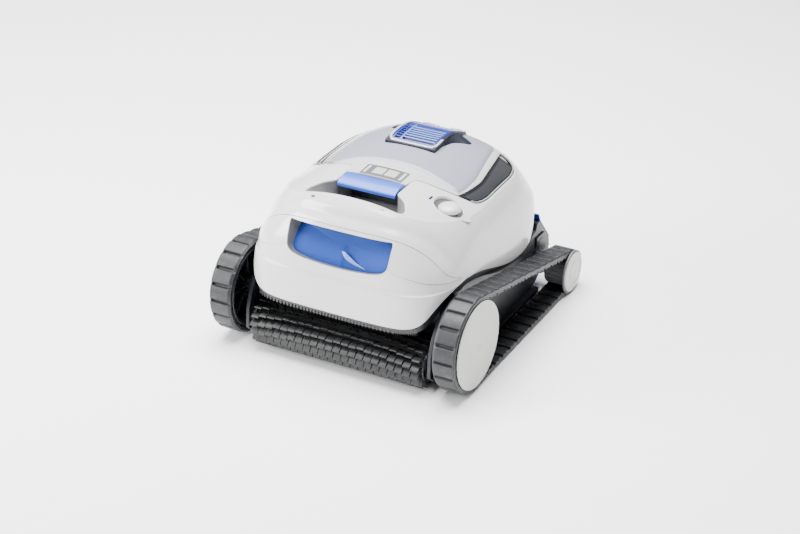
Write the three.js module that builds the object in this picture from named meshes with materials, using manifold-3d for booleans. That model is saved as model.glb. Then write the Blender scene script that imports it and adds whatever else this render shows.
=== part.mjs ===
// Cordless pool-cleaning robot: two tracks, a front brush, a lidded filter well and an outlet pump.
// Millimetres, +Z up, the brush faces -Y, origin on the floor under the middle of the tracks.
import * as THREE from "three";
import Module from "manifold-3d";
import { mergeVertices } from "three/addons/utils/BufferGeometryUtils.js";

const wasm = await Module();
wasm.setup();

// ---------- driving dimensions ----------
const trackWidth = 404;            // over the two front wheel caps
const wheelBase = 324.8;           // front axle to rear axle
const frontTipR = 72.35;           // front wheel, to the tips of the belt lugs
const rearTipR = 34.5;             // rear roller, to the tips of the belt lugs
const frontAxleY = -143.45;
const beltWide = 35;
const bandThick = 2.6;
const lugHigh = 4.4;
const toothHigh = 3;
const lugCount = 40;
const capThick = 2.6;
const hullWall = 3;
const spineTop = 262;              // top of the body on its centre line
const plateThick = 6;
const brushR = 36;
const bearingR = 10;
const brushRows = 10;
const brushCuts = 7;
const buttonR = 17;
const buttonStroke = 2.5;
const ductR = 40;                  // outlet duct, outside
const axleR = 6;
const trayBase = 18;
const trayTop = 100;
const trayWall = 3;
const wellDeck = 200;              // underside of the inner deck
const latchHalf = 47;
const inletWide = 50;
const inletLong = 40;

// ---------- clearances ----------
const gap = 0.4;
const runGap = 0.08;               // round parts that turn
const seamGap = 0.7;
const beltGap = 12;                // side plate to track
const hullGap = 1;                 // hull to track
const sweepGap = 6;                // brush tips to tray
const brushLift = 1.3;             // brush tips to floor

// ---------- sizes that follow from those ----------
const rearAxleY = frontAxleY + wheelBase;
const capOuterX = trackWidth / 2;
const beltOuterX = capOuterX - capThick - gap;
const beltInnerX = beltOuterX - beltWide;
const bandFrontR = frontTipR - lugHigh;
const bandRearR = rearTipR - lugHigh;
const frontDrumR = bandFrontR - bandThick - toothHigh - gap;
const rearDrumR = bandRearR - bandThick - toothHigh - gap;
const plateOut = beltInnerX - beltGap;
const plateIn = plateOut - plateThick;
const trayHalf = plateIn - gap;
const hullHalf = beltInnerX - hullGap;
const hullFront = frontAxleY - 59.55;
const hullRear = rearAxleY + 5.65;
const rimHalf = hullHalf - 20;     // half width of the rim round the lid
const brushY = frontAxleY - 26.55;
const brushZ = brushR + brushLift;
const trayFront = brushY + brushR + sweepGap;

// The body's outlines are drawn for this hull, then stretched to the hull asked for.
const drawnHalf = 163;
const drawnFront = -203;
const drawnRear = 187;
const wide = hullHalf / drawnHalf;
const long = (hullRear - hullFront) / (drawnRear - drawnFront);
const toY = (y) => hullFront + (y - drawnFront) * long;
const stretchXY = (points) => points.map(([x, y]) => [x * wide, toY(y)]);
const stretchYZ = (points) => points.map(([y, z]) => [toY(y), z]);

const ductY = toY(82);
const trayRear = toY(168);
const wellFront = toY(-46);        // filter well opening
const wellRear = ductY - ductR - 10;
const wellHalf = hullHalf - 70;
const inletOut = wellHalf + 17;
const inletIn = inletOut - inletWide;
const latchFront = toY(-103);

// ---------- making solids ----------
function clean(geometry) {
  let g = geometry.clone();
  for (const name of Object.keys(g.attributes)) {
    if (name !== "position") g.deleteAttribute(name);
  }
  if (!g.index) g.setIndex([...Array(g.attributes.position.count).keys()]);
  g = mergeVertices(g, 1e-4);
  const p = g.attributes.position;
  const kept = [];
  let volume = 0;
  const a = new THREE.Vector3();
  const b = new THREE.Vector3();
  const c = new THREE.Vector3();
  for (let i = 0; i < g.index.count; i += 3) {
    const t = [g.index.getX(i), g.index.getX(i + 1), g.index.getX(i + 2)];
    if (t[0] === t[1] || t[1] === t[2] || t[0] === t[2]) continue;
    kept.push(t);
    a.fromBufferAttribute(p, t[0]);
    b.fromBufferAttribute(p, t[1]);
    c.fromBufferAttribute(p, t[2]);
    volume += a.dot(b.cross(c));
  }
  g.setIndex(kept.map((t) => (volume < 0 ? [t[0], t[2], t[1]] : t)).flat());
  return g;
}

function solid(geometry) {
  const g = clean(geometry);
  return new wasm.Manifold(new wasm.Mesh({
    numProp: 3,
    vertProperties: new Float32Array(g.attributes.position.array),
    triVerts: new Uint32Array(g.index.array),
  }));
}

function surface(manifold) {
  const m = manifold.getMesh();
  const g = new THREE.BufferGeometry();
  g.setAttribute("position", new THREE.BufferAttribute(new Float32Array(m.vertProperties), 3));
  g.setIndex([...m.triVerts]);
  return g;
}

function join(...parts) {
  return parts.reduce((sum, one) => sum.add(one));
}

function cut(body, ...tools) {
  return tools.reduce((rest, one) => rest.subtract(one), body);
}

function box(x0, x1, y0, y1, z0, z1) {
  const g = new THREE.BoxGeometry(x1 - x0, y1 - y0, z1 - z0);
  g.translate((x0 + x1) / 2, (y0 + y1) / 2, (z0 + z1) / 2);
  return solid(g);
}

function prism(points, from, to, axis, hole) {
  const flip = axis === "y" ? (q) => new THREE.Vector2(q[1], q[0]) : (q) => new THREE.Vector2(q[0], q[1]);
  const line = points.map(flip);
  const shape = new THREE.Shape(THREE.ShapeUtils.isClockWise(line) ? line.reverse() : line);
  if (hole) shape.holes.push(new THREE.Path(hole.map(flip)));
  const g = new THREE.ExtrudeGeometry(shape, { depth: to - from, bevelEnabled: false });
  g.translate(0, 0, from);
  const m = new THREE.Matrix4();
  if (axis === "x") m.set(0, 0, 1, 0, 1, 0, 0, 0, 0, 1, 0, 0, 0, 0, 0, 1);
  if (axis === "y") m.set(0, 1, 0, 0, 0, 0, 1, 0, 1, 0, 0, 0, 0, 0, 0, 1);
  g.applyMatrix4(m);
  return solid(g);
}

function turned(profile, axis, at, sides = 24) {
  const points = profile.map((q) => new THREE.Vector2(Math.max(q[0], 0), q[1]));
  const g = new THREE.LatheGeometry(points, sides);
  if (axis === "x") g.rotateZ(-Math.PI / 2);
  if (axis === "z") g.rotateX(Math.PI / 2);
  g.translate(...at);
  return solid(g);
}

function rod(r, from, to, axis, at, sides = 18) {
  return turned([[0, from], [r, from], [r, to], [0, to]], axis, at, sides);
}

function sleeve(rIn, rOut, from, to, axis, at, sides = 32) {
  return turned([[rIn, from], [rOut, from], [rOut, to], [rIn, to], [rIn, from]], axis, at, sides);
}

function between(s, from, to) {
  return s > 0 ? [from, to] : [-to, -from];
}

function mirrored(points) {
  return [...points, ...points.map((q) => [-q[0], q[1]]).reverse()];
}

// ---------- the body's outer form ----------
const sides = 44;

function along(value, table) {
  if (value <= table[0][0]) return table[0][1];
  for (let i = 1; i < table.length; i += 1) {
    const [a, b] = [table[i - 1], table[i]];
    if (value <= b[0]) return a[1] + ((b[1] - a[1]) * (value - a[0])) / (b[0] - a[0]);
  }
  return table[table.length - 1][1];
}

const spineDrop = stretchYZ([
  [-160, -8], [-120, -6], [-73, -5], [0, -1], [60, 0], [95, -3], [120, -8], [142, -16], [160, -30],
]);
const crownDrop = stretchYZ([[-90, 36], [-20, 42], [134, 42]]);

function topHeight(x, y) {
  const spine = along(y, spineDrop);
  const crown = along(y, crownDrop);
  return spineTop + spine - crown * (Math.abs(x) / rimHalf) ** 2.3;
}

const formMiddle = toY(-15);

function ring(half, front, rear, inset, squareFront, squareRear, height) {
  const middle = formMiddle;
  const points = [];
  for (let i = 0; i < sides; i += 1) {
    const t = (2 * Math.PI * i) / sides;
    const c = Math.cos(t);
    const s = Math.sin(t);
    const n = s < 0 ? squareFront : squareRear;
    const b = s < 0 ? middle - front - inset : rear - middle - inset;
    const r = ((Math.abs(c) / (half - inset)) ** n + (Math.abs(s) / b) ** n) ** (-1 / n);
    points.push(new THREE.Vector3(r * c, middle + r * s, 0));
  }
  for (const p of points) p.z = height(p.x, p.y);
  return points;
}

function loft(rings) {
  const n = rings[0].length;
  const all = rings.flat();
  const index = [];
  for (let k = 0; k + 1 < rings.length; k += 1) {
    for (let i = 0; i < n; i += 1) {
      const j = (i + 1) % n;
      index.push(k * n + i, k * n + j, (k + 1) * n + j, k * n + i, (k + 1) * n + j, (k + 1) * n + i);
    }
  }
  for (const [k, turn] of [[0, 1], [rings.length - 1, 0]]) {
    const middle = new THREE.Vector3();
    for (const p of rings[k]) middle.addScaledVector(p, 1 / n);
    if (k > 0) middle.z = Math.max(...rings[k].map((p) => p.z));
    all.push(middle);
    for (let i = 0; i < n; i += 1) {
      const j = (i + 1) % n;
      const [p, q] = turn ? [j, i] : [i, j];
      index.push(k * n + p, k * n + q, all.length - 1);
    }
  }
  const g = new THREE.BufferGeometry();
  const flat = new Float32Array(all.flatMap((p) => [p.x, p.y, p.z]));
  g.setAttribute("position", new THREE.BufferAttribute(flat, 3));
  g.setIndex(index);
  return solid(g);
}

const rimFront = hullFront + 47;
const rimRear = hullRear - 44;
const waist = 150;

function form(inset, low = 60) {
  const rim = (x, y) => topHeight(x, y) - inset;
  const rising = (t) => (x, y) => waist + (rim(x, y) - waist) * t;
  const rings = [
    ring(hullHalf - 10, hullFront + 12, hullRear - 14, inset, 5, 4.6, () => low),
    ring(hullHalf - 0.5, hullFront, hullRear - 5, inset, 5.3, 4.8, () => 104),
    ring(hullHalf + 0.5, hullFront + 2, hullRear - 1, inset, 5.2, 4.9, () => 128),
    ring(hullHalf, hullFront + 6, hullRear, inset, 4.9, 4.9, rising(0)),
    ring(hullHalf - 1, hullFront + 13, hullRear - 2, inset, 4.3, 4.9, rising(0.35)),
    ring(hullHalf - 6.5, hullFront + 25, hullRear - 15, inset, 3.5, 4.8, rising(0.7)),
    ring(rimHalf + 5, hullFront + 37, hullRear - 31, inset, 3, 5, rising(0.9)),
    ring(rimHalf, rimFront, rimRear, inset, 2.8, 5.4, rim),
  ];
  for (const k of [0.84, 0.6, 0.3]) {
    const last = rings[7];
    rings.push(last.map((p) => {
      const x = p.x * k;
      const y = (p.y - formMiddle) * k + formMiddle;
      return new THREE.Vector3(x, y, topHeight(x, y) - inset);
    }));
  }
  return loft(rings);
}

const outer = form(0);
const inner = form(hullWall, 40);
const bare = cut(outer, inner);

// ---------- lines on the body ----------
const windowTop = 218;

function seamHeight(x) {
  return windowTop + 5.5 - 72 * (Math.abs(x) / hullHalf) ** 4.2;
}

const seamLine = [];
const reach = 1.25 * hullHalf;     // past the sides of the body
const seamRear = toY(-90);
for (let i = -20; i <= 20; i += 1) seamLine.push([(reach * i) / 20, seamHeight((reach * i) / 20)]);
const panelLow = mirrored([
  [203.75, 186], [163, 153], [153, 138], [144, 124], [137, 113], [129, 105], [118, 101.5], [60, 99.5],
].map(([x, z]) => [x * wide, z]));
const seamAt = (shift) => [[-reach, 0], [reach, 0], ...seamLine.map((q) => [q[0], q[1] + shift]).reverse()];
const underSeam = prism(seamAt(-seamGap), hullFront - 60, seamRear, "y");
const overSeam = prism(seamAt(0), hullFront - 60, seamRear, "y");
const overPanelLow = prism([...panelLow, [-reach, 400], [reach, 400]], hullFront - 60, seamRear, "y");
const skirt = stretchYZ([
  [-260, 150], [-107, 150], [-90, 148.5], [50, 105.5], [108, 106],
  [140, 117], [160, 132], [178, 154], [260, 154],
]);
const overSkirt = prism([...skirt, [toY(260), 400], [toY(-260), 400]], -reach, reach, "x");

const lidRear = 133;
const lidGap = 1;

function lidPlan(grow) {
  const right = [
    [latchHalf + 3, latchFront + 31],
    [latchHalf + 6, latchFront + 53],
    ...stretchXY([
      [85, -44], [112, -34], [136, -20], [139, 20], [138.5, 66],
      [135, 96], [126, 116], [106, 129], [60, lidRear],
    ]),
  ];
  const line = right.map((q) => [q[0] + grow, q[1] + (q[1] < formMiddle ? -grow : grow * 0.6)]);
  return mirrored(line);
}

// ---------- hull: shell, hand recess, inner deck, hinge brackets ----------
const recessOutline = (grow) => mirrored([
  [latchHalf + 1.5 + grow, latchFront + 43],
  [latchHalf + 1.5 + grow, latchFront + 4 + grow / 2],
  [latchHalf + 9 + grow, latchFront - 1.5 + grow / 2],
  [latchHalf + 20 + grow, toY(-113) + grow / 2],
  [latchHalf + 27 + grow, toY(-124)],
  [latchHalf + 30.5 + grow, toY(-134)],
  [latchHalf + 30 + grow, toY(-139.5) - grow],
  [latchHalf + 20, toY(-141.5) - grow],
]);
const recessFloor = 212;
const recessSlope = (grow) => mirrored([
  [latchHalf + 3 + grow, recessFloor - grow],
  [latchHalf + 31 + grow, recessFloor + 32 - grow],
  [latchHalf + 31 + grow, 320],
]);
const recessSpace = (grow) => prism(recessOutline(grow), recessFloor - grow, 320, "z")
  .intersect(prism(recessSlope(grow), hullFront, 0, "y"));
const hingeY = toY(lidRear) + 3.5;
const hingeZ = topHeight(0, toY(lidRear)) + 0.2;
const hingePinR = 2;
const knuckleR = 4;
const knuckleFrom = 14;            // lid knuckles, from the middle
const knuckleTo = 31;
const earThick = 5;                // hull ears on both sides of each knuckle
const innerDeck = prism(
  ring(hullHalf - 9, hullFront + 25, hullRear - 14, 2, 2.8, 4.6, () => 0).map((p) => [p.x, p.y]),
  wellDeck, wellDeck + 3, "z",
).intersect(form(hullWall - 0.5)).intersect(box(-reach, reach, toY(-100), hullRear, 150, 250));
const buttonX = 116 * wide;
const buttonY = toY(-71);
const lensX = buttonX - buttonR - 11;
const lensY = buttonY - 3;
const lensTurn = (points) => points.map((q) => [lensX + q[1] - lensY, lensY + q[0] - lensX]);
const wellHole = box(-wellHalf, wellHalf, wellFront, wellRear, 180, 230);
const lidSide = box(-reach, reach, hullFront, hingeY - 2.9, 200, 330);
let hull = join(cut(bare.intersect(overSkirt), overSeam), innerDeck);
hull = join(hull, recessSpace(hullWall).intersect(form(0.1)));
for (const s of [-1, 1]) {
  for (const a of [knuckleFrom - gap - earThick, knuckleTo + gap]) {
    const x0 = Math.min(s * a, s * (a + earThick));
    const foot = box(x0, x0 + earThick, toY(lidRear) + 0.9, hingeY + knuckleR, hingeZ - 6.5, hingeZ);
    hull = join(hull, foot, rod(knuckleR, x0, x0 + earThick, "x", [0, hingeY, hingeZ], 24));
  }
}
hull = cut(
  hull,
  prism(lidPlan(lidGap), 206.5, hingeZ - knuckleR - 1, "z"),
  prism(lidPlan(lidGap), 206.5, 320, "z").intersect(lidSide),
  recessSpace(0),
  wellHole,
  rod(ductR + gap, 180, 230, "z", [0, ductY, 0], 28),
  rod(buttonR + 0.5, 210, 300, "z", [buttonX, buttonY, 0], 28),
  prism(lensTurn(pill(lensX, lensY, 6, 2.6)), 210, 300, "z"),
);
for (const s of [-1, 1]) {
  const x0 = Math.min(s * (knuckleFrom - gap), s * (knuckleTo + gap));
  const x1 = x0 + knuckleTo - knuckleFrom + 2 * gap;
  hull = cut(hull, rod(knuckleR + gap, x0, x1, "x", [0, hingeY, hingeZ], 24));
  hull = cut(hull, box(x0, x1, hingeY - knuckleR - gap, hingeY, hingeZ - 8, hingeZ));
  hull = cut(hull, rod(hingePinR + 0.05, x0 - 12, x1 + 12, "x", [0, hingeY, hingeZ]));
}
const postX = rimHalf - 19;
const postY = trayFront + 32;
const screwPosts = [[-postX, postY], [postX, postY], [-74 * wide, toY(143)], [74 * wide, toY(143)]];
for (const [x, y] of screwPosts) hull = cut(hull, rod(2.2, 190, 206, "z", [x, y, 0], 16));

function pill(x, y, half, r) {
  const points = [];
  for (let i = 0; i <= 8; i += 1) {
    const t = -Math.PI / 2 + (Math.PI * i) / 8;
    points.push([x + half - r + r * Math.cos(t), y + r * Math.sin(t)]);
  }
  for (let i = 0; i <= 8; i += 1) {
    const t = Math.PI / 2 + (Math.PI * i) / 8;
    points.push([x - half + r + r * Math.cos(t), y + r * Math.sin(t)]);
  }
  return points;
}

// ---------- front panel and its window ----------
const windowHalf = 82 * wide;

function windowEdge(grow) {
  const right = [
    [windowHalf + grow, windowTop + grow - 1.5], [windowHalf - 0.5 + grow, 186 - grow],
    [windowHalf - 4 + grow, 178 - grow], [windowHalf - 13 + grow, 173 - grow],
    [windowHalf * 0.58, 168.5 - grow], [windowHalf * 0.2, 166 - grow],
  ];
  return mirrored([[windowHalf * 0.36, windowTop + grow], ...right]);
}
const windowRear = toY(-120);
const frontPanel = cut(
  bare.intersect(underSeam).intersect(overPanelLow),
  prism(windowEdge(0), hullFront - 60, windowRear, "y"),
);
const windowPanel = cut(form(12), form(14.5))
  .intersect(prism(windowEdge(5), hullFront - 60, windowRear, "y"))
  .intersect(prism(seamAt(-seamGap - 2), hullFront - 60, seamRear, "y"));

// ---------- comb strip behind the panel's lower edge ----------
const combHalf = plateIn - 7;
const combRear = brushY - 6;
const combNotches = 24;
let comb = box(-combHalf, combHalf, combRear - 6, combRear, 88, 99);
for (let i = 0; i < combNotches; i += 1) {
  const x = -combHalf + 8 + (i * (2 * combHalf - 16)) / (combNotches - 1);
  comb = cut(comb, box(x - 1.8, x + 1.8, combRear - 8, combRear + 2, 80, 94.5));
}

// ---------- chassis ----------
const inletY = (wellFront + wellRear) / 2;
let tray = cut(
  box(-trayHalf, trayHalf, trayFront, trayRear, trayBase, trayTop),
  box(
    -trayHalf + trayWall, trayHalf - trayWall, trayFront + trayWall, trayRear - trayWall,
    trayBase + trayWall, 200,
  ),
);
for (const [x, y] of screwPosts) {
  const post = rod(7, trayBase, wellDeck - gap, "z", [x, y, 0]);
  tray = join(tray, cut(post, rod(1.6, 170, 210, "z", [x, y, 0], 16)));
}
for (const s of [-1, 1]) {
  const x0 = s > 0 ? inletIn : -inletOut;
  const x1 = s > 0 ? inletOut : -inletIn;
  tray = cut(tray, box(x0, x1, inletY - inletLong / 2, inletY + inletLong / 2, 0, 30));
}

const plateProfile = stretchYZ([
  [-194, 30], [-192, 60], [-183, 84], [-168, 106], [-140, 128], [-118, 140], [-100, 156],
  [40, 122], [88, 116],
  [98, 103], [120, 101], [150, 106], [156, 117], [163, 117], [167.4, 113.6], [200.4, 73.8], [203.4, 58],
  [198.5, 45.3], [169, 23], [140, 8], [-150, 8], [-180, 18],
]);
const guideThick = 4;
function sidePlate(s) {
  const guide = between(s, plateOut - 0.5, beltInnerX - 3);
  let plate = join(
    prism(plateProfile, ...between(s, plateIn, plateOut), "x"),
    box(...guide, frontAxleY + 75, rearAxleY - 35, 8, 8 + guideThick),
  );
  for (const [y, z, r] of [[frontAxleY, frontTipR, axleR + 8], [rearAxleY, rearTipR, axleR + 6]]) {
    plate = join(plate, rod(r, ...between(s, plateOut - 0.5, beltInnerX - 1), "x", [0, y, z]));
    plate = cut(plate, rod(axleR + 0.05, -reach * 2, reach * 2, "x", [0, y, z], 24));
  }
  return cut(plate, rod(bearingR + 0.05, -reach * 2, reach * 2, "x", [0, brushY, brushZ], 20));
}

const tailWide = plateOut - 1;
const tailPanel = cut(
  prism(stretchYZ([
    [161, 128], [164, 129], [170, 116], [204, 76], [207.5, 58], [202, 43], [172, 20],
    [169.5, 22.5], [199, 45], [204, 58], [201, 74], [168, 114],
  ]), -tailWide, tailWide, "x"),
  rod(axleR + gap, -reach * 2, 5 - plateIn, "x", [0, rearAxleY, rearTipR]),
  rod(axleR + gap, plateIn - 5, reach * 2, "x", [0, rearAxleY, rearTipR]),
);

// ---------- tracks ----------
function loopPoint(s, h, rf, rr) {
  const d = wheelBase;
  const dz = rearTipR - frontTipR;
  const span = Math.hypot(d, dz);
  const tilt = Math.atan2(dz, d);
  const lean = Math.asin((rf - rr) / span);
  const up = Math.PI / 2 + tilt - lean;
  const down = -Math.PI / 2 + tilt + lean;
  const straight = Math.sqrt(span * span - (rf - rr) ** 2);
  const arcRear = rr * (up - down);
  const arcFront = rf * (2 * Math.PI - (up - down));
  const total = 2 * straight + arcRear + arcFront;
  let u = ((s % 1) + 1) % 1 * total;
  const at = (cy, cz, r, t) => [cy + (r + h) * Math.cos(t), cz + (r + h) * Math.sin(t)];
  if (u < straight) {
    const k = u / straight;
    const a = at(frontAxleY, frontTipR, rf, up);
    const b = at(rearAxleY, rearTipR, rr, up);
    return [a[0] + (b[0] - a[0]) * k, a[1] + (b[1] - a[1]) * k];
  }
  u -= straight;
  if (u < arcRear) return at(rearAxleY, rearTipR, rr, up - u / rr);
  u -= arcRear;
  if (u < straight) {
    const k = u / straight;
    const a = at(rearAxleY, rearTipR, rr, down);
    const b = at(frontAxleY, frontTipR, rf, down);
    return [a[0] + (b[0] - a[0]) * k, a[1] + (b[1] - a[1]) * k];
  }
  u -= straight;
  return at(frontAxleY, frontTipR, rf, down - u / rf);
}

function beltProfile() {
  const outside = [];
  for (let i = 0; i < lugCount; i += 1) {
    for (const [k, h] of [[0.2, 0], [0.24, lugHigh], [0.5, lugHigh], [0.76, lugHigh], [0.8, 0]]) {
      outside.push(loopPoint((i + k) / lugCount, h, bandFrontR, bandRearR));
    }
  }
  const inside = [];
  const teeth = lugCount;
  for (let i = 0; i < teeth; i += 1) {
    for (const [k, h] of [[0.2, 0], [0.5, -toothHigh], [0.8, 0]]) {
      inside.push(loopPoint((i + k) / teeth, h - bandThick, bandFrontR, bandRearR));
    }
  }
  return [outside, inside];
}

const [beltOut, beltIn] = beltProfile();
const belt = (s) => {
  const x0 = s > 0 ? beltInnerX : -beltOuterX;
  return prism(beltOut, x0, x0 + beltWide, "x", beltIn);
};

// ---------- wheels, rollers, caps and axles ----------
const axleTip = beltOuterX - 8;
function wheelPart(s, profile, y, z, count) {
  return turned(profile.map((q) => [q[0], s * q[1]]), "x", [0, y, z], count);
}

function frontWheel(s) {
  const a = beltInnerX + gap;
  const b = beltOuterX;
  const r = frontDrumR;
  const bore = axleR + runGap;
  return wheelPart(s, [
    [bore, a + 2], [13, a + 2], [13, b - 10], [r - 5, b - 10], [r - 5, a + 4], [r - 2, a], [r, a],
    [r, b - 0.4], [r - 3, b - 0.4], [r - 3, b - 5], [bore, b - 5], [bore, a + 2],
  ], frontAxleY, frontTipR, 30);
}

function rearRoller(s) {
  const a = beltInnerX + gap;
  const b = beltOuterX;
  const r = rearDrumR;
  const bore = axleR + runGap;
  const edge = rearTipR - gap;
  return wheelPart(s, [
    [bore, a + 2], [11, a + 2], [11, b - 8], [r - 4, b - 8], [r - 4, a],
    [r, a], [r, b + gap], [edge, b + gap],
    [edge, b + 4.2], [edge - 2, b + 4.2], [edge - 2, b + 2.4], [bore, b - 5], [bore, a + 2],
  ], rearAxleY, rearTipR, 24);
}

const frontCap = (s) => wheelPart(s, [
  [0, beltOuterX - 2.5], [frontDrumR - 4, beltOuterX - 2.5], [frontDrumR - 4, beltOuterX + gap],
  [frontTipR - 7.4, beltOuterX + gap], [frontTipR - 7.4, capOuterX - 0.6], [frontTipR - 8.4, capOuterX],
  [0, capOuterX + 0.9],
], frontAxleY, frontTipR, 34);

const rearCap = (s) => wheelPart(s, [
  [0, beltOuterX - 1], [4, beltOuterX - 1],
  [rearTipR - 4, beltOuterX + 3.2], [rearTipR - 3, beltOuterX + 3.2],
  [rearTipR - 3, beltOuterX + 4.8], [rearTipR - 4, beltOuterX + 5.4], [0, beltOuterX + 5.8],
], rearAxleY, rearTipR, 24);

const axle = (s, y, z) => rod(axleR, ...between(s, plateIn - 4, axleTip), "x", [0, y, z], 24);

// ---------- brush ----------
const coreR = 15;
const sleeveR = 19;
const brushHalf = plateIn - 8;
const pinR = 5;
const brushCore = join(
  rod(coreR, -brushHalf, brushHalf, "x", [0, brushY, brushZ]),
  rod(pinR, -plateIn - 3, plateIn + 3, "x", [0, brushY, brushZ]),
);
const bladeSolids = [];
for (let i = 0; i < brushRows; i += 1) {
  const teeth = [[-brushHalf, sleeveR - 1]];
  const pitch = (2 * brushHalf) / brushCuts;
  for (let k = 0; k < brushCuts; k += 1) {
    const x = -brushHalf + k * pitch;
    teeth.push([x + 1, sleeveR + 4], [x + 1, brushR], [x + pitch - 1, brushR], [x + pitch - 1, sleeveR + 4]);
  }
  teeth.push([brushHalf, sleeveR - 1]);
  const row = new THREE.Shape(teeth.map((q) => new THREE.Vector2(q[0], q[1])));
  const g = new THREE.ExtrudeGeometry(row, { depth: 3, bevelEnabled: false });
  g.translate(0, 0, -1.5);
  g.rotateX((2 * Math.PI * i) / brushRows);
  g.translate(0, brushY, brushZ);
  bladeSolids.push(solid(g));
}
const brushSleeve = join(
  sleeve(coreR + 0.3, sleeveR, -brushHalf, brushHalf, "x", [0, brushY, brushZ], 36),
  ...bladeSolids,
);
const brushEnd = (s) => turned([
  [pinR + 0.3, s * (brushHalf + 0.4)], [24, s * (brushHalf + 0.4)], [24, s * (brushHalf + 3)],
  [pinR + 0.3, s * (brushHalf + 3)], [pinR + 0.3, s * (brushHalf + 0.4)],
], "x", [0, brushY, brushZ]);
const brushBearing = (s) => turned([
  [pinR + runGap, s * (plateIn - 3)], [bearingR + 4, s * (plateIn - 3)], [bearingR + 4, s * (plateIn - gap)],
  [bearingR, s * (plateIn - gap)],
  [bearingR, s * plateOut], [pinR + runGap, s * plateOut], [pinR + runGap, s * (plateIn - 3)],
], "x", [0, brushY, brushZ], 20);

// ---------- pump, duct, battery, controls, drive motors ----------
const shaftR = 4;
const motor = join(
  rod(ductR - 6, trayBase + trayWall + gap, 98, "z", [0, ductY, 0], 36),
  rod(shaftR, 97, 226, "z", [0, ductY, 0]),
);
const duct = cut(
  join(
    sleeve(ductR - 2.5, ductR, 101, 240, "z", [0, ductY, 0], 28),
    box(-ductR + 2, ductR - 2, ductY - 3, ductY + 3, 120, 126),
  ),
  rod(shaftR + 1, 90, 260, "z", [0, ductY, 0]),
  box(-20, 20, ductY - ductR - 20, ductY, 128, 190),
);
let impeller = cut(turned([[0, 206], [12, 206], [10, 224], [0, 224]], "z", [0, ductY, 0], 24));
for (let i = 0; i < 4; i += 1) {
  const g = new THREE.BoxGeometry(ductR - 8, 2.4, 15);
  g.rotateX(0.5);
  g.translate((ductR - 8) / 2 + 4, 0, 0);
  g.rotateZ((Math.PI * i) / 2);
  g.translate(0, ductY, 215);
  impeller = join(impeller, solid(g));
}
impeller = cut(impeller, rod(shaftR + runGap, 190, 226.5, "z", [0, ductY, 0]));
const trayFloor = trayBase + trayWall + gap;
const battery = box(-62 * wide, 62 * wide, trayFront + 12, toY(-60), trayFloor, 96);
const controlsHalf = inletIn - 8;
const controls = box(-controlsHalf, controlsHalf, toY(-50), ductY - ductR - 12, trayFloor, 70);
const motorOut = trayHalf - trayWall - 4.6;
const motorY = toY(118);
const driveMotor = (s) => join(
  rod(17, ...between(s, motorOut - 48, motorOut), "x", [0, motorY, 62], 28),
  box(...between(s, motorOut - 12, motorOut), motorY - 20, motorY + 18, trayFloor, 62),
);

// ---------- inlet ducts with flaps ----------
const flapPinZ = 26;
const flapPinY = inletY + inletLong / 2 - 3;
function inletDuct(s) {
  const x0 = s > 0 ? inletIn : -inletOut;
  const x1 = s > 0 ? inletOut : -inletIn;
  const y0 = inletY - inletLong / 2;
  const y1 = inletY + inletLong / 2;
  const z0 = trayBase + trayWall + gap;
  return cut(
    box(x0 - 2.5, x1 + 2.5, y0 - 4, y1 + 4, z0, 105),
    box(x0, x1, y0 - 1.5, y1 + 1.5, z0 - 5, 120),
    rod(1.3, x0 - 5, x1 + 5, "x", [0, flapPinY, flapPinZ], 16),
  );
}

function flap(s) {
  const x0 = (s > 0 ? inletIn : -inletOut) + 1;
  const x1 = (s > 0 ? inletOut : -inletIn) - 1;
  return cut(
    join(
      box(x0, x1, inletY - inletLong / 2 + 1, flapPinY, flapPinZ - 1, flapPinZ + 1),
      rod(2.6, x0, x1, "x", [0, flapPinY, flapPinZ], 20),
    ),
    rod(1.25 + runGap, x0 - 5, x1 + 5, "x", [0, flapPinY, flapPinZ], 20),
  );
}

const flapPin = (s) => rod(
  1.25, ...between(s, inletIn - 2.4, inletOut + 2.4), "x", [0, flapPinY, flapPinZ], 16,
);

// ---------- filter basket ----------
const basketHalf = wellHalf - 1.6;
const basketFront = wellFront + 1.6;
const basketRear = wellRear - 1.6;
const basketLow = 107;
const basketTop = wellDeck + 6;
const basketWall = 2.4;
let basket = cut(
  join(
    box(-basketHalf, basketHalf, basketFront, basketRear, basketLow, basketTop),
    box(-basketHalf - 4, basketHalf + 4, basketFront - 4, basketRear + 4, wellDeck + 3 + gap, basketTop),
  ),
  box(
    -basketHalf + basketWall, basketHalf - basketWall, basketFront + basketWall, basketRear - basketWall,
    basketLow + 3, 230,
  ),
);
const screenPitch = (2 * basketHalf) / 3 - 1;
const screenHalf = screenPitch / 2 - 5;
for (const i of [-1, 0, 1]) {
  const x = i * screenPitch;
  basket = cut(basket, box(
    x - screenHalf, x + screenHalf, basketFront - 9, basketRear + 9, basketLow + 12, wellDeck - 12,
  ));
}
for (const s of [-1, 1]) {
  const x0 = s > 0 ? basketHalf - 10 : -basketHalf - 10;
  basket = cut(basket, box(x0, x0 + 20, basketFront + 12, basketRear - 12, basketLow + 12, wellDeck - 12));
  const holeIn = s > 0 ? inletIn : -basketHalf + 6;
  const holeOut = s > 0 ? basketHalf - 6 : -inletIn;
  basket = cut(basket, box(holeIn, holeOut, inletY - inletLong / 2 + 2, inletY + inletLong / 2 - 2, 90, 120));
}
const screenLow = basketLow + 6;
const screenHigh = wellDeck - 6;
const screenEnd = (y) => box(-basketHalf + 6, basketHalf - 6, y, y + 1.2, screenLow, screenHigh);
const screenSide = (x) => box(x, x + 1.2, basketFront + 8, basketRear - 8, screenLow, screenHigh);
const handleBar = 4;
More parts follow.
